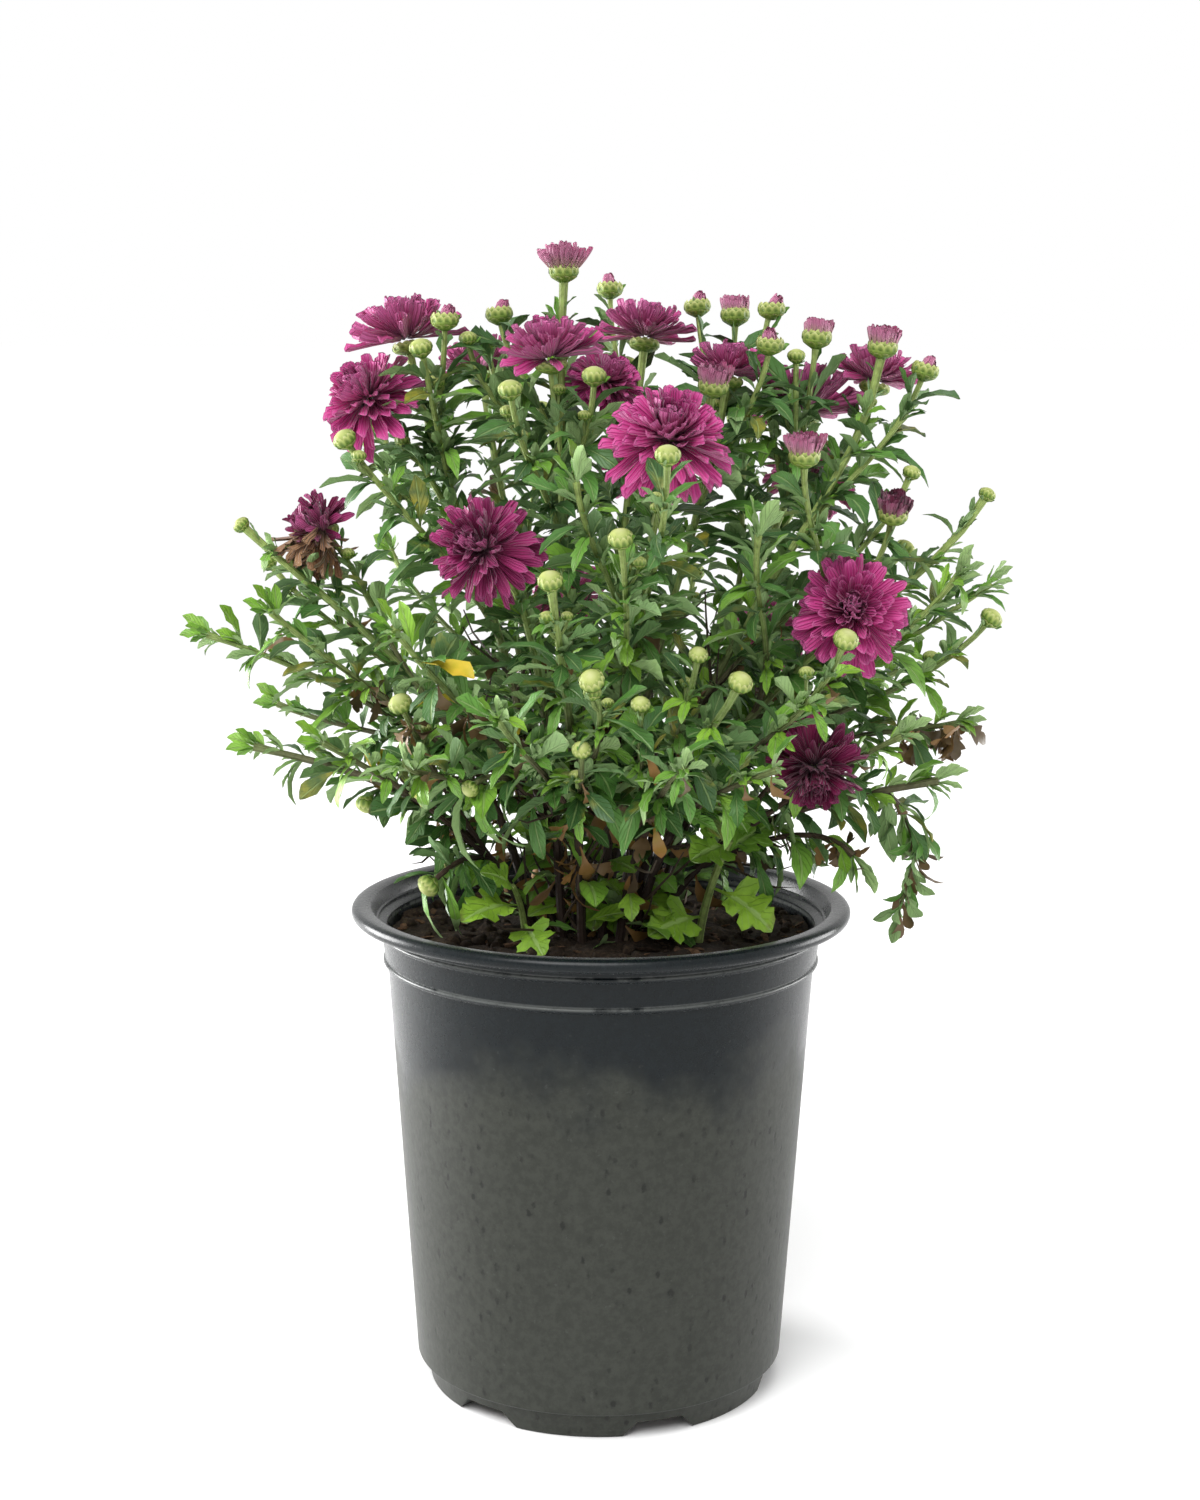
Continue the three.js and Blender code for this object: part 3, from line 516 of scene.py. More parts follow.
def makePetalSkin(name, stops, under):
    skin = Finish(name, Roughness=0.5, Specular_IOR_Level=0.2, Sheen_Weight=0.2, Sheen_Roughness=0.4)
    across, along, back = skin.faceMap()
    age = skin.attribute("age")
    streaks = skin.noise(1.0, 2.0, at=skin.vector(across * 8, along * 0.9, age * 37))
    fade = (along + streaks * 0.4 - 0.2).ramp(*stops)
    face = age.step(0.1, 1.0).blend(fade, multiply(fade, (0.30, 0.17, 0.23)))
    face = (back * 0.55 * (1 - age)).blend(face, under)
    ribs = (across * 25).wave()
    skin.set("Base_Color", (ribs.step(0.1, 1.0) * 0.2 * (1 - age)).blend(face, under))
    skin.bump(ribs * 0.5 + streaks * 0.5, 0.0005, 0.8)
    return skin.material


leafSkin = makeLeafSkin("leafSkin", 0.75)
lobedSkin = makeLeafSkin("lobedLeafSkin", 1.1)
stemBark = makeStemBark()
budScales = makeBudScales()
petalSkin = makePetalSkin("petalSkin", (
    (0.0, (0.16, 0.005, 0.045)), (0.3, (0.38, 0.018, 0.14)), (0.7, (0.52, 0.045, 0.23)),
    (1.0, (0.68, 0.13, 0.38))), (0.68, 0.23, 0.46))
youngPetalSkin = makePetalSkin("youngPetalSkin", (
    (0.0, (0.52, 0.53, 0.16)), (0.3, (0.62, 0.42, 0.28)), (0.52, (0.58, 0.19, 0.32)),
    (1.0, (0.50, 0.05, 0.19))), (0.64, 0.26, 0.42))
witheredPetalSkin = makePetalSkin("witheredPetalSkin", (
    (0.0, (0.08, 0.035, 0.025)), (0.5, (0.25, 0.12, 0.055)), (1.0, (0.36, 0.20, 0.10))), (0.30, 0.18, 0.10))
print("materials made")


# Small shapes that repeat

def startMesh():
    bm = bmesh.new()
    bm.verts.layers.float.new("age")
    bm.loops.layers.uv.new("faceMap")
    return bm


def keepShape(name, bm, slotNumber):
    for face in bm.faces:
        face.material_index = slotNumber
    shape = bpy.data.meshes.new(name)
    bm.to_mesh(shape)
    bm.free()
    return shape


def onArc(share, angle):                         # a share of a length that is bent round by this angle
    if abs(angle) < 1e-3:
        return share, 0
    return math.sin(angle * share) / angle, (math.cos(angle * share) - 1) / angle


# A thin closed blade with its root at the origin. It points along +Y and its upper side is +Z. The
# outline gives half of it, as shares of its length and width. It bends down, and its sides fold up.
def bladeShape(name, outline, form, bend, slotNumber=0):
    bm = startMesh()
    rows = len(outline) - 1
    bmesh.ops.create_grid(bm, x_segments=form["columns"], y_segments=rows, size=0.5, calc_uvs=True)
    for vert in bm.verts:
        share, width = outline[round((vert.co.y + 0.5) * rows)]
        half = vert.co.x * width
        along, drop = onArc(share, bend)
        twist = form["twist"] * math.sin(bend * 7) * share
        ripple = form["ripple"] * math.sin(share * 12 + vert.co.x * 6) * abs(half)
        lift = form["fold"] * abs(half) + ripple + 0.35 * half * twist
        vert.co = (half * math.cos(twist), along, drop + lift)
    upper = bm.faces[:]
    twin = bmesh.ops.duplicate(bm, geom=bm.verts[:] + bm.edges[:] + upper)["geom"]
    lower = [item for item in twin if isinstance(item, bmesh.types.BMFace)]
    bmesh.ops.reverse_faces(bm, faces=lower)
    faceMap = bm.loops.layers.uv["faceMap"]
    for face in lower:
        for loop in face.loops:
            loop[faceMap].uv.x += 1
    for vert in twin:
        if isinstance(vert, bmesh.types.BMVert) and not vert.is_boundary:
            vert.co.z -= form["thickness"]
    bmesh.ops.remove_doubles(bm, verts=bm.verts, dist=1e-5)
    return keepShape(name, bm, slotNumber)


# A closed round shape: a sphere whose radius and height are set by a function of its two shares.
def roundShape(name, sides, rings, form, slotNumber):
    bm = startMesh()
    bmesh.ops.create_uvsphere(bm, u_segments=sides, v_segments=rings, radius=1, calc_uvs=True)
    for vert in bm.verts:
        share = math.acos(max(-1, min(1, -vert.co.z))) / math.pi
        turn = math.atan2(vert.co.y, vert.co.x)
        radius, height = form(share, turn)
        vert.co = (radius * math.cos(turn), radius * math.sin(turn), height)
    return keepShape(name, bm, slotNumber)


def rodShape(name, sides, steps, slotNumber):
    bm = startMesh()
    bmesh.ops.create_cone(bm, cap_ends=True, segments=sides, radius1=1, radius2=1, depth=1, calc_uvs=True)
    bmesh.ops.translate(bm, vec=(0, 0, 0.5), verts=bm.verts)
    long = [edge for edge in bm.edges if abs(edge.verts[0].co.z - edge.verts[1].co.z) > 0.5]
    bmesh.ops.subdivide_edges(bm, edges=long, cuts=steps - 1)
    faceMap = bm.loops.layers.uv["faceMap"]
    for face in bm.faces:
        turns = [math.atan2(vert.co.y, vert.co.x) / math.tau % 1 for vert in face.verts]
        wraps = max(turns) - min(turns) > 0.5
        for loop, turn in zip(face.loops, turns):
            loop[faceMap].uv = (turn + (1 if wraps and turn < 0.5 else 0), loop.vert.co.z)
    return keepShape(name, bm, slotNumber)


def addShape(bm, shape, matrix, age):            # only into a mesh that nothing has been deleted from
    known = len(bm.verts)
    bm.from_mesh(shape)
    bm.verts.ensure_lookup_table()
    fresh = bm.verts[known:]
    bmesh.ops.transform(bm, matrix=matrix, verts=fresh)
    layer = bm.verts.layers.float["age"]
    for vert in fresh:
        vert[layer] = age
    return fresh


# A rod laid along a path, with its radius and its age given by functions of the share of its length.
def addTube(bm, shape, path, radius, age):
    fresh = addShape(bm, shape, Matrix(), 0)
    layer = bm.verts.layers.float["age"]
    rings = {}
    for vert in fresh:
        share = min(max(round(vert.co.z, 4), 0), 1)
        if share not in rings:
            heading = path.heading(share)
            side = Vector((1, 0.13, 0.07)).cross(heading).normalized()
            rings[share] = (path.point(share), side, heading.cross(side), radius(share), age(share))
        spot, side, over, size, old = rings[share]
        vert.co = spot + (side * vert.co.x + over * vert.co.y) * size
        vert[layer] = old


def finishPiece(name, bm, finishes, nodes, sharp=50):
    bmesh.ops.scale(bm, vec=(mm, mm, mm), verts=bm.verts)
    mesh = bpy.data.meshes.new(name)
    bm.to_mesh(mesh)
    bm.free()
    for finish in finishes:
        mesh.materials.append(finish)
    mesh.shade_smooth()
    mesh.set_sharp_from_angle(angle=math.radians(sharp))
    piece = bpy.data.objects.new(name, mesh)
    bpy.context.scene.collection.objects.link(piece)
    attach(piece, "root")
    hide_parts(*nodes)
    return piece


# Half of each leaf's outline, from its root: the share of its length and the share of its width.
leafOutlines = {
    "lance": [(0, 0.1), (0.14, 0.16), (0.32, 0.5), (0.52, 0.92), (0.68, 1.0), (0.84, 0.72), (0.95, 0.3),
              (1, 0.03)],
    "spoon": [(0, 0.12), (0.18, 0.14), (0.36, 0.36), (0.54, 0.8), (0.72, 1.0), (0.87, 0.86), (0.96, 0.5),
              (1, 0.1)],
    "toothed": [(0, 0.1), (0.2, 0.16), (0.38, 0.5), (0.56, 0.96), (0.58, 0.72), (0.74, 1.08), (0.76, 0.7),
                (0.89, 0.66), (0.96, 0.3), (1, 0.03)],
    "cleft": [(0, 0.1), (0.25, 0.14), (0.44, 0.4), (0.6, 1.0), (0.7, 1.16), (0.67, 0.56), (0.82, 0.66),
              (0.92, 0.56), (1, 0.05)],
    "lobed": [(0, 0.06), (0.2, 0.07), (0.3, 0.16), (0.31, 0.5), (0.36, 0.82), (0.42, 0.84), (0.48, 1.0),
              (0.54, 0.86), (0.52, 0.56), (0.56, 0.52), (0.6, 0.84), (0.66, 0.88), (0.72, 0.98), (0.77, 0.8),
              (0.76, 0.5), (0.82, 0.54), (0.87, 0.6), (0.91, 0.44), (0.96, 0.38), (1, 0.05)],
}
leafForm = {
    "columns": 2, "fold": 0.14, "twist": 1.1, "ripple": 0.09, "thickness": 0.022,
    "bends": (-0.35, 0.06, 0.26, 0.5, 0.85, 1.4, 2.2),
}
lobedForm = {**leafForm, "columns": 4, "ripple": 0.16, "fold": 0.2, "twist": 0.3}
petalForm = {
    "columns": 2, "fold": 0.14, "twist": 0.5, "ripple": 0.1, "thickness": 0.02,
    "bends": (-2.2, -1.2, -0.7, -0.3, 0.1, 0.5, 1.0, 2.0),
}
petalOutline = [(0, 0.3), (0.22, 0.5), (0.5, 0.84), (0.76, 1.0), (0.92, 0.86), (1, 0.36)]
bractForm = {"columns": 2, "fold": 0, "twist": 0, "ripple": 0, "thickness": 0.03}
bractOutline = [(0, 0.6), (0.3, 0.9), (0.6, 1.0), (0.84, 0.78), (1, 0.2)]

leafShapes = {
    kind: [bladeShape(kind + "Leaf", outline, lobedForm if kind == "lobed" else leafForm, bend)
           for bend in leafForm["bends"]]
    for kind, outline in leafOutlines.items()
}
petalShapes = [bladeShape("petal", petalOutline, petalForm, bend) for bend in petalForm["bends"]]
budPetalShapes = [bladeShape("budPetal", petalOutline, petalForm, bend, 3) for bend in petalForm["bends"]]
bractShape = bladeShape("bract", bractOutline, bractForm, 0, 2)
stalk = rodShape("stalk", 7, 14, 1)
thinStalk = rodShape("thinStalk", 5, 4, 1)

# A row of bracts has its number, the heights that it reaches from and to, its turn and its lift.
budForm = {
    "widest": 0.52, "sides": 16, "rings": 8,
    "rows": ((9, 0.0, 0.34, 0, 0.05), (12, 0.03, 0.82, 0.5, 0.03), (12, 0.1, 1.0, 0, 0.0)),
}


def bulbRadius(height, mouth):                   # of a bud of radius 1 and height 1; its mouth may be open
    low = budForm["widest"]
    if height < low:
        return max(0.2, math.sin(height / low * math.pi / 2) ** 0.7)
    share = (height - low) / (1 - low)
    return between(max(0, 1 - share ** 2.4) ** 0.6, 1, mouth)


def headShape(name, mouth):                      # a bud or cup in three rows of bracts, with its foot at 0
    bulb = roundShape(name + "Bulb", budForm["sides"], budForm["rings"], lambda share, turn: (
        bulbRadius((1 - math.cos(share * math.pi)) / 2, mouth) * min(1, (1 - share) / 0.12),
        (1 - math.cos(share * math.pi)) / 2 - 0.12 * mouth * share), 2)
    bm = startMesh()
    addShape(bm, bulb, Matrix(), 0)
    for count, low, high, phase, lift in budForm["rows"]:
        for i in range(count):
            for vert in addShape(bm, bractShape, Matrix(), 0):
                side, share, out = vert.co
                height = between(low, high, share)
                turn = (i + phase + side * 1.3) / count * math.tau
                radius = bulbRadius(height, mouth) + lift + out + 0.03 * side
                vert.co = (radius * math.cos(turn), radius * math.sin(turn), height)
    return keepShape(name, bm, 2)


closedBud = headShape("closedBud", 0)
openCup = headShape("openCup", 0.85)


# Leaves

leafHabit = {
    "clusters": 5,                               # small leaves in the crook of each leaf
    "clusterLength": (5, 13),
    "freshest": 0.13,                            # the least age of a leaf in a cluster
    "rosette": 6, "rosetteLength": (15, 12),     # leaves at a tip, and their length on inner and outer shoots
    "darkRare": 0.994, "darkOlder": 0.42,        # how rare a nearly dead leaf is, and how much older it is
    # The inner leaves' ages give them a dark green that is painted shade inside the plant.
    "inner": 26, "innerRange": (0.28, 0.86), "innerLength": (13, 21), "innerPaintedShadeAge": (0.54, 0.68),
    "withered": 0.07,                            # the share of low leaves that have a dead one beside them
    "faceRoom": 30,                              # how far before a bloom's face no leaf stands
    "slender": 285,                              # leaves are slimmer and darker above this height
    "outer": 95,                                 # and on shoots that reach further out than this
    "broad": 262,                                # leaves are blunt or cleft below this height
    "crownLeaves": 6, "crownRange": (0.05, 0.34), "crownLength": (11, 22), "crownAge": (0.04, 0.4),
    "deadLeaves": 11, "deadRange": (0.06, 0.5), "deadLength": (9, 17), "deadAge": (0.84, 1),
    "twigs": 7,
    "stalkLeaves": 2, "stalkLeafLength": (7, 12), "stalkLeafFrom": 7, "stalkLeafStep": 8,
}
# Dead leaves of the plan, and the yellow leaf: the stem, the share of its length, the turn round it and the
# leaf's length.
deadLeaves = [
    (5, 0.2, 250, 17), (7, 0.24, 230, 20), (9, 0.26, 300, 19), (6, 0.3, 280, 22), (8, 0.3, 215, 18),
    (14, 0.3, 290, 20), (15, 0.62, 300, 22), (1, 0.42, 240, 20), (2, 0.5, 260, 18), (18, 0.3, 60, 20),
    (17, 0.28, 110, 18), (19, 0.4, 150, 20),
]
yellowLeaf = (8, 0.62, 215, 16)
# Leaves that point to a place: the stem, its shoot, the share of its length, the place, the leaf's length,
# its slimness, bend, kind and age.
placedLeaves = [
    (8, 3, 0.85, (-36, -80, 253), 21, 0.3, 0.5, "spoon", 0.755),
    (8, 3, 0.6, (-66, -62, 262), 19, 0.2, 1.4, "lance", 0.72),
    (7, 3, 0.65, (-30, -79, 229), 15, 0.4, 1.4, "cleft", 0.88),
    (9, 2, 0.75, (14, -86, 226), 13, 0.3, 2.2, "spoon", 0.85),
    (9, 3, 0.35, (20, -74, 190), 17, 0.26, 2.2, "spoon", 0.84),
    (7, 0, 0.3, (2, -58, 172), 17, 0.3, 2.2, "cleft", 0.87),
    (8, 0, 0.5, (-22, -52, 210), 16, 0.34, 2.2, "spoon", 0.9),
    (9, 1, 0.5, (38, -80, 200), 15, 0.3, 2.2, "spoon", 0.84),
    (8, 1, 0.8, (-58, -74, 178), 30, 0.12, 2.2, "lance", 0.34),
    (8, 1, 0.9, (-44, -84, 190), 27, 0.13, 2.2, "lance", 0.28),
    (8, 2, 0.5, (-62, -60, 180), 30, 0.12, 1.4, "lance", 0.3),
    (2, 4, 0.7, (-70, -48, 176), 28, 0.13, 2.2, "lance", 0.36),
    (2, 4, 0.85, (-40, -62, 168), 24, 0.14, 2.2, "lance", 0.25),
]
# Bunches of withered leaves: the stem, its shoot, the share of its length and the number of leaves.
witheredBunches = [(15, 3, 1.0, 16), (2, 1, 0.9, 9), (8, 3, 0.6, 7), (15, 3, 0.85, 8), (1, 3, 0.6, 7),
                   (14, 3, 0.9, 7)]
bunchForm = {"step": 0.005, "length": (9, 16), "slim": 0.42, "age": (0.88, 1)}
hangingStrand = {"stem": 14, "shoot": 4, "end": (98, -10, 163), "leaves": 34, "length": (8, 15), "slim": 0.34,
                 "radius": 0.6, "green": 0.42, "brown": 0.96}
twigForm = {"range": (0.06, 0.5), "spread": (0.4, 1.1), "length": (18, 44), "rise": (-8, 10), "bow": 6,
            "radius": (0.6, 0.25), "age": 0.72}
# Room for the heads: the place, the way that is kept free before it, and the reach.
headRooms = [(tipPlace(tip), Vector((0, -1, 0.25)) if tip[7] < 0 else tipFacing(tip), tip[4] * 0.85)
             for foot, tips in stems for tip in tips if tip[0] in ("bloom", "wilted", "tuft")]



def leafHeading(stemHeading, turn, spread, rise):
    side = Matrix.Rotation(turn, 3, stemHeading) @ skew.cross(stemHeading).normalized()
    return (stemHeading * math.cos(spread) + side * math.sin(spread) + up * rise).normalized()


def leafPlace(root, heading, roll, size, light=up):
    if abs(heading.z) > 0.94:
        light = Vector((-heading.x, -heading.y, 0.05))
    across = Matrix.Rotation(roll, 3, heading) @ heading.cross(light).normalized()
    turn = Matrix((across, heading, across.cross(heading))).transposed().to_4x4()
    return Matrix.Translation(root) @ turn @ Matrix.Diagonal((*size, 1))


def pickShape(shapes, values, wanted):
    return shapes[min(range(len(values)), key=lambda i: abs(values[i] - wanted))]


def addLeaf(bm, path, share, turn, spread, length, slim, bend, roll, kind, age, rise=0.2):
    heading = leafHeading(path.heading(share), turn, spread, rise)
    place = leafPlace(path.point(share), heading, roll, (length * slim, length, length))
    middle = place @ Vector((0, 0.6, 0))
    for spot, facing, reach in headRooms:        # no leaf in a head or right before its face
        ahead = (middle - spot).dot(facing)
        if (middle - spot - facing * min(max(ahead, 0), leafHabit["faceRoom"])).length < reach:
            return
    addShape(bm, pickShape(leafShapes[kind], leafForm["bends"], bend), place, age)


def leafKind(height, pick, isTip=False):
    if height > leafHabit["broad"] or isTip:
        return "toothed" if pick < 0.12 else "lance"
    return "cleft" if pick < 0.11 else "toothed" if pick < 0.22 else "spoon" if pick < 0.66 else "lance"


def addFoliage(bm, path, tip, owner, shoot):
    low, high = plant["leafLength"]
    limp = tip[7] < 0
    isOuter = tipPlace(tip).xy.length > leafHabit["outer"]
    start = 0.12 if shoot else 0
    while tip[3] > plant["foliageFrom"] + 10 and start < 0.9 and path.point(start).z < plant["foliageFrom"]:
        start += 0.02
    stop = 1 - (2 if tip[0] == "leafy" else 16) / path.length
    key = owner * 16 + shoot
    for k in range(max(0, math.ceil((stop - start) * path.length / plant["leafSpacing"]))):
        share = start + k * plant["leafSpacing"] / path.length
        height = path.point(share).z
        size = between(low, high, min(1, (1 - share) * 1.6)) * drawn(0.66, 1.12, key, k, 3)
        turn = k * golden + chance(key, k, 1) * 0.9
        slim = drawn(0.22, 0.38, key, k, 4) * (0.8 if height > leafHabit["slender"] or isOuter else 0.94)
        bend = 1.8 if limp else drawn(0.3, 1.3, key, k, 5) + 0.7 * (chance(key, k, 9) > 0.7)
        old = drawn(0.12, 0.5, key, k, 8) + 0.1 * (1 - share)
        # Leaves above the slender height are made darker, and those below the broad height lighter.
        old += -0.05 if height < leafHabit["broad"] else 0.07 if height > leafHabit["slender"] else 0
        old += leafHabit["darkOlder"] if chance(key, k, 10) > leafHabit["darkRare"] else 0
        addLeaf(bm, path, share, turn, drawn(0.75, 1.2, key, k, 2), size, slim, bend,
                drawn(-0.4, 0.4, key, k, 6), leafKind(height, chance(key, k, 7), share > 0.8), old,
                -0.7 if limp else 0.2)
        if height < leafHabit["broad"] and chance(key, k, 11) < leafHabit["withered"]:
            addLeaf(bm, path, share, turn + 2, 1.3, drawn(8, 15, key, k, 12), 0.4, 2.2,
                    drawn(-2, 2, key, k, 13), "cleft", drawn(0.85, 1, key, k, 14), -0.7)
        addCluster(bm, path, share, turn, old, key, k, limp)
    if tip[0] == "leafy":
        addRosette(bm, path, owner, isOuter, limp)


def addCluster(bm, path, share, turn, old, key, k, limp):
    for i in range(leafHabit["clusters"]):
        pick = 20 + i * 8
        addLeaf(bm, path, share, turn + drawn(-0.9, 0.9, key, k, pick), drawn(0.15, 1.0, key, k, pick + 1),
                drawn(*leafHabit["clusterLength"], key, k, pick + 2), drawn(0.18, 0.36, key, k, pick + 5),
                drawn(-0.2, 1.5, key, k, pick + 3), drawn(-0.8, 0.8, key, k, pick + 4),
                leafKind(path.point(share).z, chance(key, k, pick + 6), share > 0.8),
                max(leafHabit["freshest"], old - 0.14 * chance(key, k, pick + 7)), -0.5 if limp else 0.2)


def addRosette(bm, path, owner, isOuter, limp):  # the youngest leaves, at the tip of a leafy shoot
    count = leafHabit["rosette"]
    longest = leafHabit["rosetteLength"][1 if isOuter else 0]
    for i in range(count):
        addLeaf(bm, path, 0.985, i * 2.1 + owner, between(0.3, 0.8, i / (count - 1)), longest - i, 0.28, 0.2,
                0, "lance", 0.14 + i * 0.04, -0.4 if limp else 0.2)


def addInnerLeaves(bm, path, key, number):       # the leaves inside the plant, coloured a darker green as painted shade
    for i in range(number):
        share = drawn(*leafHabit["innerRange"], key, i, 95)
        addLeaf(bm, path, share, i * golden + key, drawn(0.6, 1.4, key, i, 96),
                drawn(*leafHabit["innerLength"], key, i, 97), 0.32, drawn(0.2, 1.4, key, i, 98),
                drawn(-0.8, 0.8, key, i, 99),
                leafKind(path.point(share).z, chance(key, i, 100)),
                drawn(*leafHabit["innerPaintedShadeAge"], key, i, 101))


def addPlacedLeaves(bm, owner):
    for stem, shoot, share, goal, length, slim, bend, kind, age in placedLeaves:
        if stem == owner:
            root = paths[owner][shoot][0].point(share)
            place = leafPlace(root, (Vector(goal) - root).normalized(), 0.3, (length * slim, length, length))
            addShape(bm, pickShape(leafShapes[kind], leafForm["bends"], bend), place, age)
    for stem, shoot, share, number in witheredBunches:
        if stem == owner:
            for i in range(number):
                addLeaf(bm, paths[owner][shoot][0], share - bunchForm["step"] * i, i * golden,
                        drawn(0.8, 2.2, owner, i, 110), drawn(*bunchForm["length"], owner, i, 111),
                        bunchForm["slim"], drawn(1.2, 2.2, owner, i, 112), drawn(-2.5, 2.5, owner, i, 113),
                        "cleft", drawn(*bunchForm["age"], owner, i, 114), -0.9)
    if owner == hangingStrand["stem"]:
        addStrand(bm, owner)


def addStrand(bm, owner):                        # a limp shoot that hangs over the pot's rim
    form = hangingStrand
    start, end = paths[owner][form["shoot"]][0].point(1), Vector(form["end"])
    strand = Path(start, start + Vector((4, -6, 0)), end + Vector((5, 0, 20)), end)
    addTube(bm, thinStalk, strand, lambda share: form["radius"], lambda share: 0.5)
    for i in range(form["leaves"]):
        addLeaf(bm, strand, i / (form["leaves"] - 1), i * golden, 0.7, drawn(*form["length"], owner, i, 115),
                form["slim"], 1.4, drawn(-2, 2, owner, i, 116), "spoon", form["green" if i % 3 else "brown"],
                -0.5)


def addStalkLeaves(bm, path, key):               # the narrow leaves on a bare stalk below its head
    for i in range(leafHabit["stalkLeaves"]):
        below = leafHabit["stalkLeafFrom"] + leafHabit["stalkLeafStep"] * i + 5 * chance(key, i, 70)
        addLeaf(bm, path, 1 - below / path.length, math.tau * chance(key, i, 71),
                drawn(0.5, 0.9, key, i, 72), drawn(*leafHabit["stalkLeafLength"], key, i, 73), 0.15,
                drawn(-0.7, 1.2, key, i, 74), 0, "lance", 0.45)


def addTwig(bm, path, owner, i):                 # a bare dead twig
    form = twigForm
    share = drawn(*form["range"], owner, i, 102)
    start = path.point(share)
    spread = drawn(*form["spread"], owner, i, 103)
    heading = leafHeading(path.heading(share), i * golden + owner * 1.7, spread, 0)
    long = drawn(*form["length"], owner, i, 104)
    end = start + heading * long + up * drawn(*form["rise"], owner, i, 105)
    twig = Path(start, start + heading * long * 0.4, end - up * form["bow"], end)
    addTube(bm, thinStalk, twig, lambda share: between(*form["radius"], share), lambda share: form["age"])


def addCrown(bm, path, owner):                   # young leaves and dead ones round the foot of a stem
    for i in range(leafHabit["crownLeaves"]):
        kind = "lobed" if i % 3 == 0 else "cleft" if i % 3 == 1 else "spoon"
        addLeaf(bm, path, drawn(*leafHabit["crownRange"], owner, i, 80), i * golden + owner,
                drawn(0.9, 1.5, owner, i, 81), drawn(*leafHabit["crownLength"], owner, i, 82),
                0.84 if kind == "lobed" else 0.5, drawn(0.5, 1.8, owner, i, 83),
                drawn(-0.6, 0.6, owner, i, 84), kind, drawn(*leafHabit["crownAge"], owner, i, 85),
                drawn(-0.1, 0.5, owner, i, 86))
    for i in range(leafHabit["deadLeaves"]):
        addLeaf(bm, path, drawn(*leafHabit["deadRange"], owner, i, 87), i * golden + owner * 2,
                drawn(1.0, 2.3, owner, i, 88), drawn(*leafHabit["deadLength"], owner, i, 89),
                drawn(0.2, 0.42, owner, i, 90), drawn(0.8, 2.8, owner, i, 91),
                drawn(-2.2, 2.2, owner, i, 92), "cleft" if i % 2 else "spoon",
                drawn(*leafHabit["deadAge"], owner, i, 93), drawn(-0.9, 0.2, owner, i, 94))
    for i in range(leafHabit["twigs"]):
        addTwig(bm, path, owner, i)
    for stem, share, turn, length in deadLeaves:
        if stem == owner:
            addLeaf(bm, path, share, math.radians(turn), 1.9, length, 0.34, 2.2, 0.8, "toothed", 0.88, -0.5)
    if yellowLeaf[0] == owner:
        addLeaf(bm, path, yellowLeaf[1], math.radians(yellowLeaf[2]), 1.9, yellowLeaf[3], 0.42, 0.5, 0.5,
                "spoon", 0.75, -0.5)


def headAim(place, facing):
    return Matrix.Translation(place) @ up.rotation_difference(facing).to_matrix().to_4x4()


# Shares of a bud's radius, but for its widest radius and the width of its petals, which are lengths.
budSize = {"widest": 3.9, "closed": 0.95, "tipped": 1.12, "closedHeight": 1.7, "tippedHeight": 1.35,
           "middle": 0.85, "slips": 3, "slipLength": (0.9, 1.8), "slipWidth": 1.2}
tippedBud = {"petals": 30, "length": (0.9, 1.5), "ring": 0.66, "from": 0.6, "tilt": -0.04, "width": 2.0,
             "nod": 0.25, "lean": 0.45}


def addBud(bm, place, facing, size, kind, key):  # place is its middle
    aim = headAim(place - facing * size * budSize["middle"], facing)
    tipped = kind == "tipped"
    shape, tall = (openCup, budSize["tippedHeight"]) if tipped else (closedBud, budSize["closedHeight"])
    addShape(bm, shape, aim @ Matrix.Diagonal((size, size, size * tall, 1)), 0.3 if tipped else 0.1)
    if tipped:
        addBudPetals(bm, aim, size, key)
    for i in range(budSize["slips"]):
        turn = i * 2.1 + chance(key, i, 60)
        place = aim @ Matrix.Rotation(turn, 4, "Z") @ Matrix.Translation((0, 0.4, 0))
        place = place @ Matrix.Rotation(drawn(0.1, 0.9, key, i, 61), 4, "X")
        long = size * drawn(*budSize["slipLength"], key, i, 62)
        place = place @ Matrix.Diagonal((budSize["slipWidth"], long, long, 1))
        addShape(bm, leafShapes["lance"][0], place, 0.3)


def addBudPetals(bm, aim, size, key):            # the pink tips that show in an opening bud
    form = tippedBud
    lean = between(-form["lean"], form["lean"], chance(key, 0, 66))
    aim = aim @ Matrix.Translation((0, 0, size * form["from"])) @ Matrix.Rotation(form["nod"], 4, "X")
    aim = aim @ Matrix.Rotation(lean, 4, "Y")
    for i in range(form["petals"]):
        t = i / (form["petals"] - 1)
        long = size * drawn(*form["length"], key, i, 65)
        addPetal(bm, aim, i * golden, (size * form["ring"] * (1 - t) ** 0.5, 0), form["tilt"] * (1 - t),
                 (form["width"], long), 0.1, 0, 0.2 * chance(key, i, 67), budPetalShapes)


def addSideBud(bm, path, share, turn, size, key):
    start = path.point(share)
    heading = leafHeading(path.heading(share), turn, 0.7, 0.6)
    end = start + heading * size * 3.6
    if any((end - spot).length < reach + size for spot, facing, reach in headRooms):
        return
    side = Path(start, start + heading * size * 1.4, end - up * size, end)
    addTube(bm, thinStalk, side, lambda share: 0.6, lambda share: 0.2)
    addBud(bm, end + up * size * 0.7, up, size, "bud", key)


def addPetal(bm, aim, turn, root, tilt, size, curl, roll, age, shapes=petalShapes):
    place = aim @ Matrix.Rotation(turn, 4, "Z") @ Matrix.Translation((0, *root))
    place = place @ Matrix.Rotation(math.pi / 2 - tilt, 4, "X") @ Matrix.Rotation(roll, 4, "Y")
    shape = pickShape(shapes, petalForm["bends"], -curl)
    addShape(bm, shape, place @ Matrix.Diagonal((*size, size[1], 1)), age)


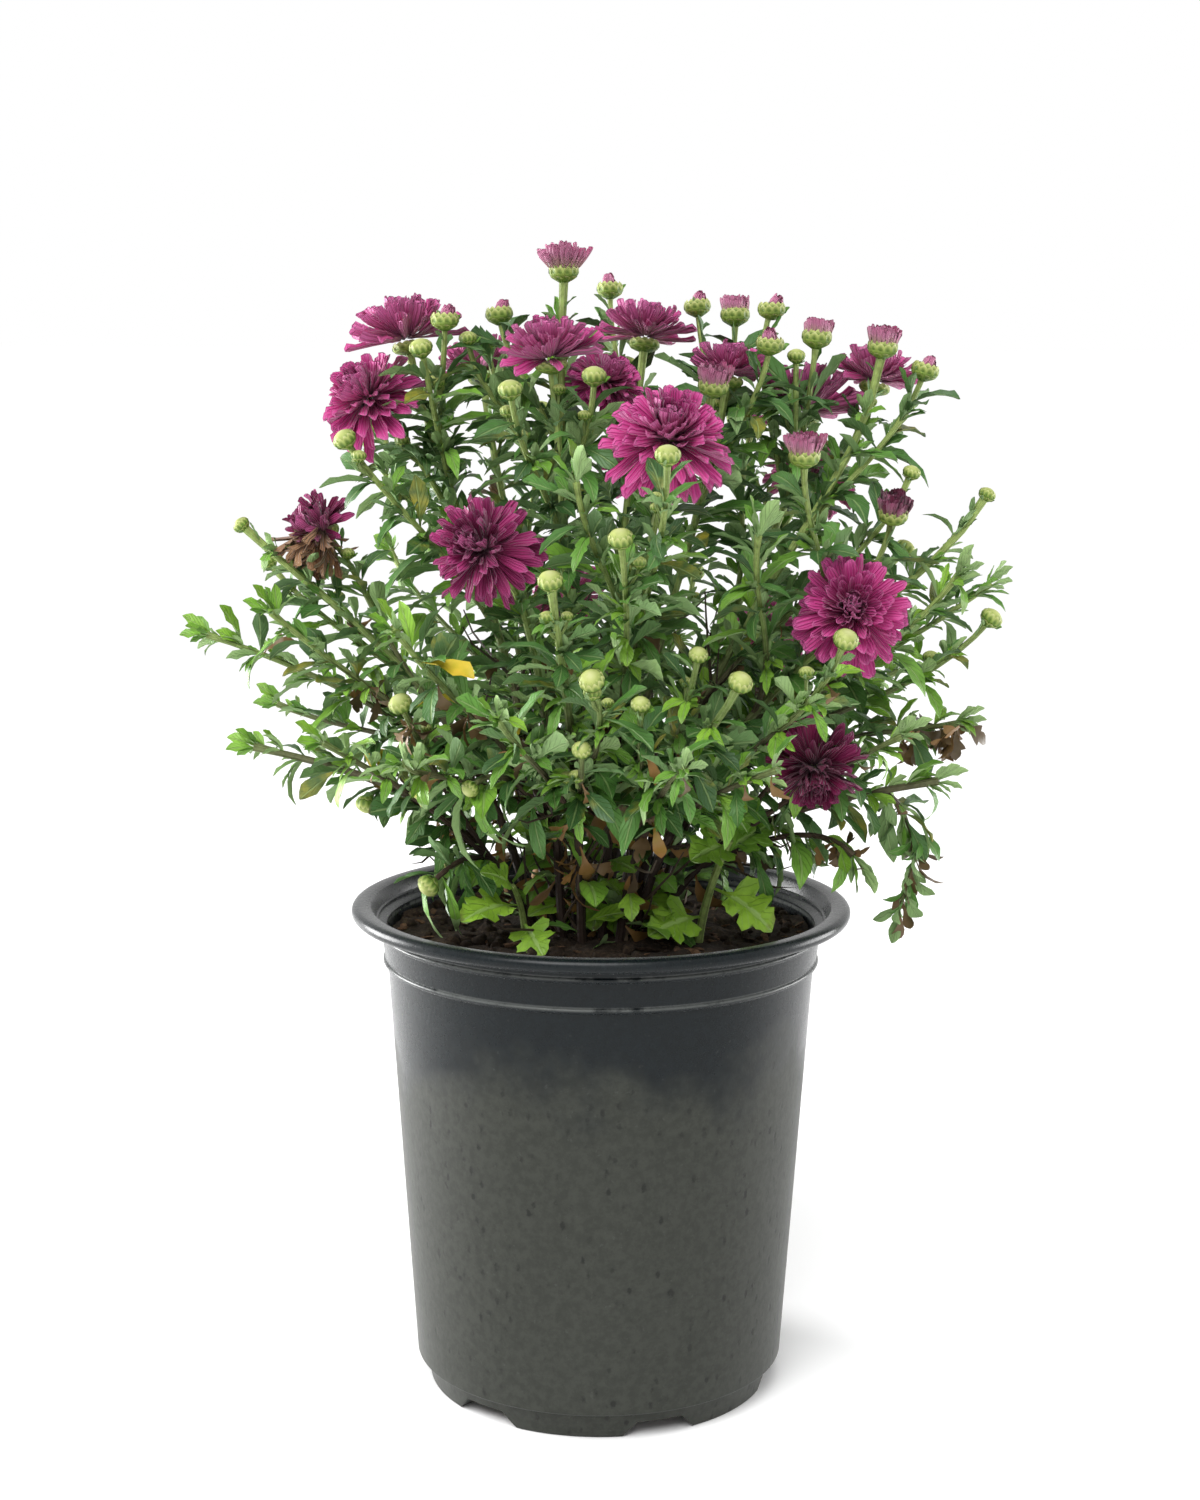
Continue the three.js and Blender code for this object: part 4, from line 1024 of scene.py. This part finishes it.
cupSizes = {"bloom": (5.0, 4.4, -3.8), "wilted": (4.6, 4.2, -3.6), "tuft": (4.7, 6.4, -0.8)}
sideBuds = {"share": 0.55, "size": (1.7, 2.7), "from": (15, 34)}


def addHead(bm, path, tip, key):
    facing = tipFacing(tip)
    if tip[0] in ("bud", "tipped"):
        size = min(tip[4], budSize["widest"]) * budSize["tipped" if tip[0] == "tipped" else "closed"]
        addBud(bm, tipPlace(tip), facing, size, tip[0], key)
    else:
        wide, tall, lower = cupSizes[tip[0]]
        aim = headAim(stalkEnd(tip) + facing * lower, facing)
        addShape(bm, openCup, aim @ Matrix.Diagonal((wide, wide, tall, 1)), 0.1)
    addStalkLeaves(bm, path, key)
    for i in range(2):
        if tip[7] > 0 and chance(key, i, 75) < sideBuds["share"]:
            share = 1 - drawn(*sideBuds["from"], key, i, 76) / path.length
            addSideBud(bm, path, share, math.tau * chance(key, i, 77),
                       drawn(*sideBuds["size"], key, i, 78), key + i)


def stalkFlare(share):                           # a stalk widens under its head
    return 1 + 0.35 * max(0, share - 0.96) / 0.04


def barkAge(path, share):                        # brown wood low down, green higher up and towards the tip
    rise = path.point(share).z - plant["foliageFrom"]
    return min(1, max(0, 0.9 - rise / plant["greening"] - share * 0.35))


def makeLeafyStem(owner):
    bm = startMesh()
    for shoot, (path, tip) in enumerate(paths[owner]):
        key = owner * 16 + shoot
        low, high = plant["stemRadius"], plant["shootRadius"]
        if shoot:
            low, high = high * 0.85, high * 0.8
        addTube(bm, stalk, path, lambda share: between(low, high, share) * stalkFlare(share),
                lambda share: barkAge(path, share))
        addFoliage(bm, path, tip, owner, shoot)
        addInnerLeaves(bm, path, key, leafHabit["inner"] if shoot == 0 else leafHabit["inner"] // 3)
        if shoot == 0:
            addCrown(bm, path, owner)
        if tip[0] != "leafy":
            addHead(bm, path, tip, key)
    addPlacedLeaves(bm, owner)
    number = f"{owner + 1:02d}"
    finishPiece("foliage_" + number, bm, [leafSkin, stemBark, budScales, youngPetalSkin],
                ["leafy_stem_" + number])


for owner in range(len(stems)):
    makeLeafyStem(owner)
print("leafy stems made")


# Blooms

# A habit has its number of petals, the tilts in degrees of the outer and inner ones, the share of the
# radius that the inner ones reach, how much they are out of line and the petals' width.
bloomHabits = {
    "flat": {"petals": 124, "outer": 94, "inner": 14, "short": 0.46, "loose": 22, "width": 3.8,
             "curl": 0},
    "full": {"petals": 150, "outer": 124, "inner": 8, "short": 0.46, "loose": 14, "width": 4.1,
             "curl": -0.4},
    "ragged": {"petals": 140, "outer": 134, "inner": 10, "short": 0.56, "loose": 46, "width": 3.5,
               "curl": -0.3},
}
# Long, ring and high are shares of the radius: the outer petals, the ring of their roots, the inner roots.
layers = {"long": 1.04, "ring": 0.16, "low": 1.2, "high": 0.3, "inwards": 0.8, "darker": 0.3}
bloomLooks = [                                   # the habit and the age of each bloom
    ("flat", 0.1), ("full", 0.15), ("flat", 0.15), ("flat", 0.12), ("full", 0.1), ("full", 0.05),
    ("ragged", 0.55), ("flat", 0.2), ("flat", 0.45), ("flat", 0.2), ("full", 0.15), ("ragged", 0.85),
    ("flat", 0.4), ("full", 0.2), ("full", 0.15), ("ragged", 0.4), ("full", 0.25), ("full", 0.35),
    ("flat", 0.25),
]


def makeBloom(tip, number):
    habit, age = bloomLooks[number - 1]
    form = bloomHabits[habit]
    bm = startMesh()
    radius, aim, count = tip[4], headAim(stalkEnd(tip), tipFacing(tip)), form["petals"]
    loose = math.radians(form["loose"])
    for i in range(count):
        t = i / (count - 1)
        tilt = math.radians(between(form["outer"], form["inner"], t ** 0.8)) + sway(loose, number, i, 1)
        length = radius * between(layers["long"], form["short"], t) * drawn(0.84, 1.06, number, i, 2)
        width = form["width"] * between(1, 0.7, t) * drawn(0.85, 1.15, number, i, 3)
        root = (radius * layers["ring"] * (1 - t), between(layers["low"], radius * layers["high"], t))
        addPetal(bm, aim, i * golden + sway(0.3, number, i, 4), root, tilt, (width, length),
                 between(form["curl"], layers["inwards"], t) + sway(loose * 1.6, number, i, 5),
                 sway(0.7, number, i, 6), age + layers["darker"] * t * t + sway(0.2, number, i, 7))
    name = f"bloom_{number:02d}"
    finishPiece("petals_" + name, bm, [petalSkin], [name], sharp=80)


tuftForm = {"petals": 90, "ring": 4.1, "rise": 3.2, "cup": 5, "tall": 0.66, "width": 1.8, "dark": 7}


def makeTuft(tip, number):
    bm = startMesh()
    radius, aim = tip[4], headAim(stalkEnd(tip), tipFacing(tip))
    long = radius * tuftForm["tall"] + tuftForm["cup"] - tuftForm["rise"]
    flare = math.asin((radius - tuftForm["ring"]) / long) * 1.15
    old = 0.6 if number == tuftForm["dark"] else 0
    for i in range(tuftForm["petals"]):
        t = i / (tuftForm["petals"] - 1)
        addPetal(bm, aim, i * golden, (tuftForm["ring"] * (1 - t) ** 0.5, tuftForm["rise"]),
                 flare * (1 - t) ** 0.8 + sway(0.2, number, i, 14),
                 (tuftForm["width"], long * drawn(0.76, 1.12, number, i, 11)), 0.1,
                 sway(0.6, number, i, 12), old + 0.5 * chance(number, i, 13) ** 2)
    name = f"half_open_bloom_{number:02d}"
    finishPiece("petals_" + name, bm, [youngPetalSkin], [name], sharp=80)


wiltedForm = {
    "upper": {"number": 80, "facing": (-6, -5, 5), "tilt": (100, 10), "length": (7, 12), "skin": 1,
              "age": 0.45},
    "lower": {"number": 96, "facing": (-3, -4, -10), "tilt": (46, 0), "length": (9, 18), "skin": 0,
              "age": 0.0},
    "width": (1.5, 3.2),
}


def makeWilted(tip, number):
    bm = startMesh()
    for part in ("upper", "lower"):
        form = wiltedForm[part]
        aim = headAim(stalkEnd(tip) + tipFacing(tip) * 2, Vector(form["facing"]).normalized())
        for i in range(form["number"]):
            known = len(bm.faces)
            tilt = math.radians(between(*form["tilt"], i / form["number"])) + sway(0.4, number, i, 22)
            addPetal(bm, aim, i * golden, (2.2, 0), tilt,
                     (drawn(*wiltedForm["width"], number, i, 23),
                      drawn(*form["length"], number, i, 21)),
                     drawn(-1.6, 1.6, number, i, 24), sway(2.0, number, i, 25),
                     form["age"] + 0.6 * chance(number, i, 26))
            bm.faces.ensure_lookup_table()
            for face in bm.faces[known:]:
                face.material_index = form["skin"]
    name = f"wilted_bloom_{number:02d}"
    finishPiece("petals_" + name, bm, [witheredPetalSkin, petalSkin], [name], sharp=80)


counts = {"bloom": 0, "tuft": 0, "wilted": 0}
makers = {"bloom": makeBloom, "tuft": makeTuft, "wilted": makeWilted}
for some in paths:
    for path, tip in some:
        if tip[0] in makers:
            counts[tip[0]] += 1
            makers[tip[0]](tip, counts[tip[0]])
print("blooms made")


# Pot

potForm = {
    "height": 163.3, "rimRadius": 82.5, "rimInner": 75.4, "wallTop": 70.7, "wallFoot": 61.4,
    "wall": 1.6, "footHeight": 9.3, "footRadius": 57, "floor": 3, "lowerRidge": 144.8, "upperRidge": 154.9,
    "drains": 6, "firstDrain": -70, "drainWidth": 25, "drainSlope": 5, "drainHeight": 5.2, "drainDepth": 12,
    "sides": 168,
}


def wallRadius(height):
    share = (height - potForm["footHeight"]) / (potForm["lowerRidge"] - potForm["footHeight"])
    return between(potForm["wallFoot"], potForm["wallTop"], share)


def spinProfile(bm, profile, sides):
    verts = [bm.verts.new((radius, 0, height)) for radius, height in profile]
    edges = [bm.edges.new(pair) for pair in zip(verts, verts[1:])]
    bmesh.ops.spin(bm, geom=verts + edges, cent=(0, 0, 0), axis=(0, 0, 1), angle=math.tau, steps=sides,
                   use_merge=True)
    bmesh.ops.remove_doubles(bm, verts=bm.verts, dist=1e-4)
    bmesh.ops.recalc_face_normals(bm, faces=bm.faces)


def arc(centre, radius, start, stop, steps):     # points on an arc of the profile, angles in degrees
    turns = [math.radians(between(start, stop, i / steps)) for i in range(steps + 1)]
    return [(centre[0] + radius * math.cos(turn), centre[1] + radius * math.sin(turn)) for turn in turns]


def makeDrainCutter():
    bm = bmesh.new()
    depth, beyond = potForm["drainDepth"], 4
    for i in range(potForm["drains"]):
        turn = math.radians(potForm["firstDrain"] + i * 360 / potForm["drains"])
        block = bmesh.ops.create_cube(bm, size=1)["verts"]
        for vert in block:
            top = vert.co.z > 0
            half = potForm["drainWidth"] / 2 + (1 if not top else -potForm["drainSlope"])
            vert.co = (potForm["footRadius"] - depth + (depth + beyond) * (vert.co.x + 0.5),
                       half * (1 if vert.co.y > 0 else -1), potForm["drainHeight"] if top else -1)
        bmesh.ops.rotate(bm, cent=(0, 0, 0), matrix=Matrix.Rotation(turn, 3, "Z"), verts=block)
    bmesh.ops.recalc_face_normals(bm, faces=bm.faces)
    bmesh.ops.scale(bm, vec=(mm, mm, mm), verts=bm.verts)
    mesh = bpy.data.meshes.new("drainCutter")
    bm.to_mesh(mesh)
    bm.free()
    cutter = bpy.data.objects.new("drainCutter", mesh)
    bpy.context.scene.collection.objects.link(cutter)
    return cutter


def makePotPlastic():
    plastic = Finish("potPlastic", Specular_IOR_Level=0.2, Sheen_Weight=0.12, Sheen_Roughness=0.3)
    height = plastic.height
    cloud = plastic.noise(22.0, 4.0, 0.6)
    speck = plastic.noise(620.0, 2.0)
    grain = plastic.noise(330.0, 4.0, 0.7)
    scuffs = plastic.noise(60.0, 5.0, 0.7)
    drawn = plastic.place.node("ShaderNodeMapping", Vector=plastic.place, Scale=(1, 1, 0.6))
    cells = drawn.node("ShaderNodeTexVoronoi", Vector=drawn, Scale=270.0)
    dust = (height + cloud * 0.08 - 0.04).step(0.127, 0.104)
    drops = (1 - (cells + grain * 0.6).step(0.38, 0.6)) * scuffs.step(0.4, 0.58) * dust
    colour = dust.blend((0.005, 0.008, 0.0095), (0.035, 0.0375, 0.031))
    colour = grain.step(0.35, 0.65).blend(multiply(colour, (0.72, 0.73, 0.72)), colour)
    colour = (drops * 0.75).blend(colour, (0.009, 0.0095, 0.0085))
    colour = (speck.step(0.66, 0.78) * 0.12).blend(colour, (0.12, 0.125, 0.12))
    for ridge in ("lowerRidge", "upperRidge"):
        away = abs(height - (potForm[ridge] + 0.5) * mm)
        line = (1 - away.step(0.0002, 0.0009)) * scuffs.step(0.36, 0.52) * 0.45
        colour = line.blend(colour, (0.20, 0.21, 0.20))
    plastic.set("Base_Color", colour)
    plastic.set("Roughness", 0.16 + dust * 0.28 + speck * 0.14 + scuffs * 0.1)
    plastic.bump(speck * 0.25 + cloud - drops * 0.3, 0.0003, 0.5)
    return plastic.material


def makePot():
    form = potForm
    top, lower, upper, wall = form["height"], form["lowerRidge"], form["upperRidge"], form["wall"]
    inside = lambda height: wallRadius(height) - wall
    bm = startMesh()
    spinProfile(bm, [
        (0, 0), (form["footRadius"] - 1, 0), *arc((form["footRadius"] - 0.8, 1.0), 1.0, -80, -10, 4),
        (form["footRadius"] + 1.6, form["footHeight"] - 1.2),
        (form["footRadius"] + 2.1, form["footHeight"] - 0.5),
        (form["wallFoot"] - 0.7, form["footHeight"] - 0.2),
        *arc((form["wallFoot"] - 0.6, form["footHeight"] + 0.6), 0.75, -80, -5, 4),
        (wallRadius(lower - 30), lower - 30), (form["wallTop"] - 0.1, lower - 1.4),
        *arc((form["wallTop"] + 0.7, lower), 0.8, -70, 80, 5),
        (form["wallTop"] + 1.9, upper - 1.3),
        *arc((form["wallTop"] + 2.5, upper), 0.8, -70, 80, 5),
        (form["wallTop"] + 3.0, top - 4.8),
        (form["wallTop"] + 3.9, top - 4.3),
        *arc((form["rimRadius"] - 2.2, top - 2.2), 2.2, -85, 95, 14),
        (form["rimInner"] + 2.4, top - 0.05), (form["rimInner"] + 0.8, top - 0.6),
        (form["rimInner"] - 0.2, top - 2), (form["rimInner"] - 1.5, top - 5.6),
        (inside(lower) + 2.6, top - 6.1), (inside(lower) + 1.8, top - 6.8), (inside(lower) + 1.4, lower + 1),
        (inside(lower), lower - 1), (inside(form["footHeight"] + 4), form["footHeight"] + 4),
        (form["footRadius"] - 2.5, form["floor"]), (0, form["floor"]),
    ], form["sides"])
    pot = finishPiece("nursery_pot", bm, [makePotPlastic()], ["pot"], sharp=35)
    cutter = makeDrainCutter()
    cut = pot.modifiers.new("drains", "BOOLEAN")
    cut.operation, cut.solver, cut.object = "DIFFERENCE", "EXACT", cutter
    bpy.context.view_layer.update()
    cutMesh = bpy.data.meshes.new_from_object(pot.evaluated_get(bpy.context.evaluated_depsgraph_get()))
    pot.modifiers.clear()
    pot.data = cutMesh
    cutMesh.set_sharp_from_angle(angle=math.radians(35))
    bpy.data.objects.remove(cutter)


makePot()
print("pot made")


# Soil

soilForm = {
    "rings": 34, "sides": 120, "chips": 260, "clods": 240, "seed": 5,
}


def soilHeight(x, y):
    reach = math.hypot(x, y) / potForm["wallTop"]
    coarse = math.sin(x * 0.21 + 1.3) * math.cos(y * 0.17)
    fine = 0.6 * math.sin(x * 0.09 - y * 0.25 + 2)
    return plant["soilLevel"] + 2.2 * (1 - reach) + (coarse + fine) * 1.1 * (1 - reach * reach)


def makePottingSoil():
    soil = Finish("pottingSoil", Roughness=0.95, Specular_IOR_Level=0.2)
    grain = soil.noise(700.0, 5.0, 0.7)
    patch = soil.noise(90.0, 3.0)
    age = soil.attribute("age")
    body = (grain * 0.6 + patch * 0.4).ramp(
        (0.3, (0.006, 0.004, 0.003)), (0.5, (0.03, 0.02, 0.013)), (0.66, (0.085, 0.058, 0.036)),
        (0.78, (0.17, 0.12, 0.075)))
    wood = grain.ramp((0.3, (0.05, 0.026, 0.014)), (0.6, (0.16, 0.09, 0.05)), (0.8, (0.30, 0.21, 0.13)))
    soil.set("Base_Color", age.step(0.3, 0.7).blend(body, wood))
    soil.bump(grain, 0.0014)
    return soil.material


def lumpForm(share, turn):
    return math.sin(share * math.pi) * (1 + 0.25 * math.sin(3 * turn + share * 5)), -math.cos(share * math.pi)


def makeSoil():
    bed = startMesh()
    edge = wallRadius(potForm["lowerRidge"]) - potForm["wall"] - 0.4
    spread = [edge * (1 - i / soilForm["rings"]) for i in range(soilForm["rings"])]
    spinProfile(bed, [
        (0, 3.4), (potForm["footRadius"] - 3.4, 3.4), (wallRadius(13) - potForm["wall"] - 0.4, 13.7),
        (edge, potForm["lowerRidge"] - 1.4), (edge + 0.8, potForm["lowerRidge"] + 0.8),
        *[(radius + 0.8, plant["soilLevel"]) for radius in spread], (0, plant["soilLevel"])],
        soilForm["sides"])
    for vert in bed.verts:
        if vert.co.z > plant["soilLevel"] - 0.1:
            rough = noise(vert.co * 0.16) * 1.6 + noise(vert.co * 0.5) * 1.1
            vert.co.z = soilHeight(vert.co.x, vert.co.y) + rough
    bm = startMesh()
    addShape(bm, keepShape("bed", bed, 0), Matrix(), 0)
    lump = roundShape("lump", 6, 4, lumpForm, 0)
    for i in range(soilForm["chips"] + soilForm["clods"]):
        isChip = i < soilForm["chips"]
        turn = chance(i, 1, soilForm["seed"]) * math.tau
        reach = math.sqrt(chance(i, 2, soilForm["seed"])) * (edge - 2)
        x, y = reach * math.cos(turn), reach * math.sin(turn)
        size = between(1.0, 3.4, chance(i, 3, soilForm["seed"]) ** 2)
        shape = (size * 1.8, size * 0.55, 0.5) if isChip else (size * 0.9, size * 0.8, size * 0.6)
        place = Matrix.Translation((x, y, soilHeight(x, y) + 0.3))
        place = place @ Matrix.Rotation(chance(i, 4, soilForm["seed"]) * math.tau, 4, "Z")
        place = place @ Matrix.Rotation(sway(1.2, i, 5, soilForm["seed"]), 4, "X")
        place = place @ Matrix.Rotation(sway(0.8, i, 6, soilForm["seed"]), 4, "Y")
        age = drawn(0.3, 1, i, 7, soilForm["seed"]) if isChip else 0
        addShape(bm, lump, place @ Matrix.Diagonal((*shape, 1)), age)
    finishPiece("soil_bed", bm, [makePottingSoil()], ["soil"], sharp=70)


makeSoil()
print("soil made")


# Young shoots from the soil

basalLight = Vector((0, -1, 1.1))                # the way that their leaves face
# Each of their leaves has its share of the stem, the place that it points to and its length.
basalShoots = [
    {"name": "basal_shoot_right", "foot": (31, -22), "head": (41, -30, 190), "radius": 1.6,
     "leaves": [(0.62, (62, -42, 168), 25), (0.4, (12, -46, 168), 22), (0.95, (30, -52, 194), 20),
                (1.0, (30, -42, 212), 20), (0.85, (58, -26, 204), 21), (1.0, (48, -40, 216), 17)]},
    {"name": "basal_shoot_left", "foot": (-24, -24), "head": (-28, -36, 176), "radius": 1.3,
     "leaves": [(0.7, (-48, -50, 177), 23), (0.5, (-18, -52, 160), 18), (0.95, (-36, -48, 190), 15)]},
]


def makeBasalShoot(index, shoot):
    bm = startMesh()
    start = Vector((*shoot["foot"], plant["soilLevel"] - plant["buried"]))
    bend = Vector((*shoot["foot"], plant["soilLevel"] + 12))
    end = Vector(shoot["head"])
    path = Path(start, start.lerp(bend, 2 / 3), end.lerp(bend, 2 / 3), end)
    addTube(bm, stalk, path, lambda share: shoot["radius"] * between(1, 0.7, share), lambda share: 0.15)
    for i, (share, goal, length) in enumerate(shoot["leaves"]):
        root = path.point(share)
        place = leafPlace(root, (Vector(goal) - root).normalized(), drawn(-0.4, 0.4, 90 + index, i, 1),
                          (length * 0.8, length, length), basalLight)
        addShape(bm, leafShapes["lobed"][4], place, 0.04 + 0.04 * i)
    finishPiece("young_" + shoot["name"], bm, [lobedSkin, stemBark], [shoot["name"]])


for index, shoot in enumerate(basalShoots):
    makeBasalShoot(index, shoot)
print("young shoots made")


# Stage

studio = {
    "floorSize": 60.0,
    "floorTone": (0.98, 0.98, 0.98),
    "skyTone": (1.0, 1.0, 1.0),
    "skyStrength": 0.38,
    "shownStrength": 1.0,                        # of the white that the camera sees behind the plant
    "sunStrength": 2.55,
    "sunHeading": (0.16, 0.64, -0.88),
    "sunSpread": 42,                             # degrees, so that its shadows are soft
    "lamps": [                                   # name, place, aim, width and watts
        ("key", (-0.6, -0.9, 1.2), (0, 0, 0.25), 0.9, 5),
        ("front", (0.15, -1.3, 0.5), (0, 0, 0.19), 0.8, 1.2),
        ("left", (-1.1, 0.45, 0.3), (0, 0, 0.13), 0.7, 26),
        ("right", (1.1, 0.45, 0.2), (0, 0, 0.1), 0.7, 13)],
    "eye": (-0.0006, -0.8106, 0.3486),           # the camera that was fitted to the pot, in metres
    "pitch": 0.1648,
    "roll": 0.005,
    "lens": 60,
}


def makeFloor():
    bm = bmesh.new()
    bmesh.ops.create_grid(bm, x_segments=1, y_segments=1, size=studio["floorSize"])
    mesh = bpy.data.meshes.new("floor")
    bm.to_mesh(mesh)
    bm.free()
    paint = Finish("floorPaint", Roughness=0.9, Specular_IOR_Level=0.0)
    paint.set("Base_Color", studio["floorTone"])
    mesh.materials.append(paint.material)
    floor = bpy.data.objects.new("floor", mesh)
    bpy.context.scene.collection.objects.link(floor)


def addLamp(name, place, target, size, power):
    light = bpy.data.lights.new(name, "AREA")
    light.shape, light.size, light.energy = "DISK", size, power
    lamp = bpy.data.objects.new(name, light)
    lamp.location = place
    lamp.rotation_euler = (Vector(target) - Vector(place)).to_track_quat("-Z", "Y").to_euler()
    bpy.context.scene.collection.objects.link(lamp)


def makeStage():
    scene = bpy.context.scene
    makeFloor()
    world = bpy.data.worlds.new("studio")
    world.use_nodes = True
    sky = world.node_tree.nodes["Background"]
    sky.inputs["Color"].default_value = (*studio["skyTone"], 1)
    isSeen = addNode(world.node_tree, "ShaderNodeLightPath")
    isMirrored = Signal(world.node_tree, isSeen.socket.node.outputs["Is Glossy Ray"])
    share = isSeen.maths("MAXIMUM", isSeen, isMirrored)
    feed(world.node_tree, sky.inputs["Strength"],
         share * (studio["shownStrength"] - studio["skyStrength"]) + studio["skyStrength"])
    scene.world = world
    light = bpy.data.lights.new("sun", "SUN")
    light.energy = studio["sunStrength"]
    light.angle = math.radians(studio["sunSpread"])
    sun = bpy.data.objects.new("sun", light)
    sun.rotation_euler = Vector(studio["sunHeading"]).to_track_quat("-Z", "Y").to_euler()
    scene.collection.objects.link(sun)
    for lamp in studio["lamps"]:
        addLamp(*lamp)
    camera = bpy.data.objects.new("camera", bpy.data.cameras.new("camera"))
    camera.data.lens = studio["lens"]
    camera.location = studio["eye"]
    turn = Matrix.Rotation(math.pi / 2 - studio["pitch"], 3, "X") @ Matrix.Rotation(studio["roll"], 3, "Z")
    camera.rotation_euler = turn.to_euler()
    scene.collection.objects.link(camera)
    scene.camera = camera
    scene.view_settings.view_transform = "Standard"


makeStage()
print("stage made")
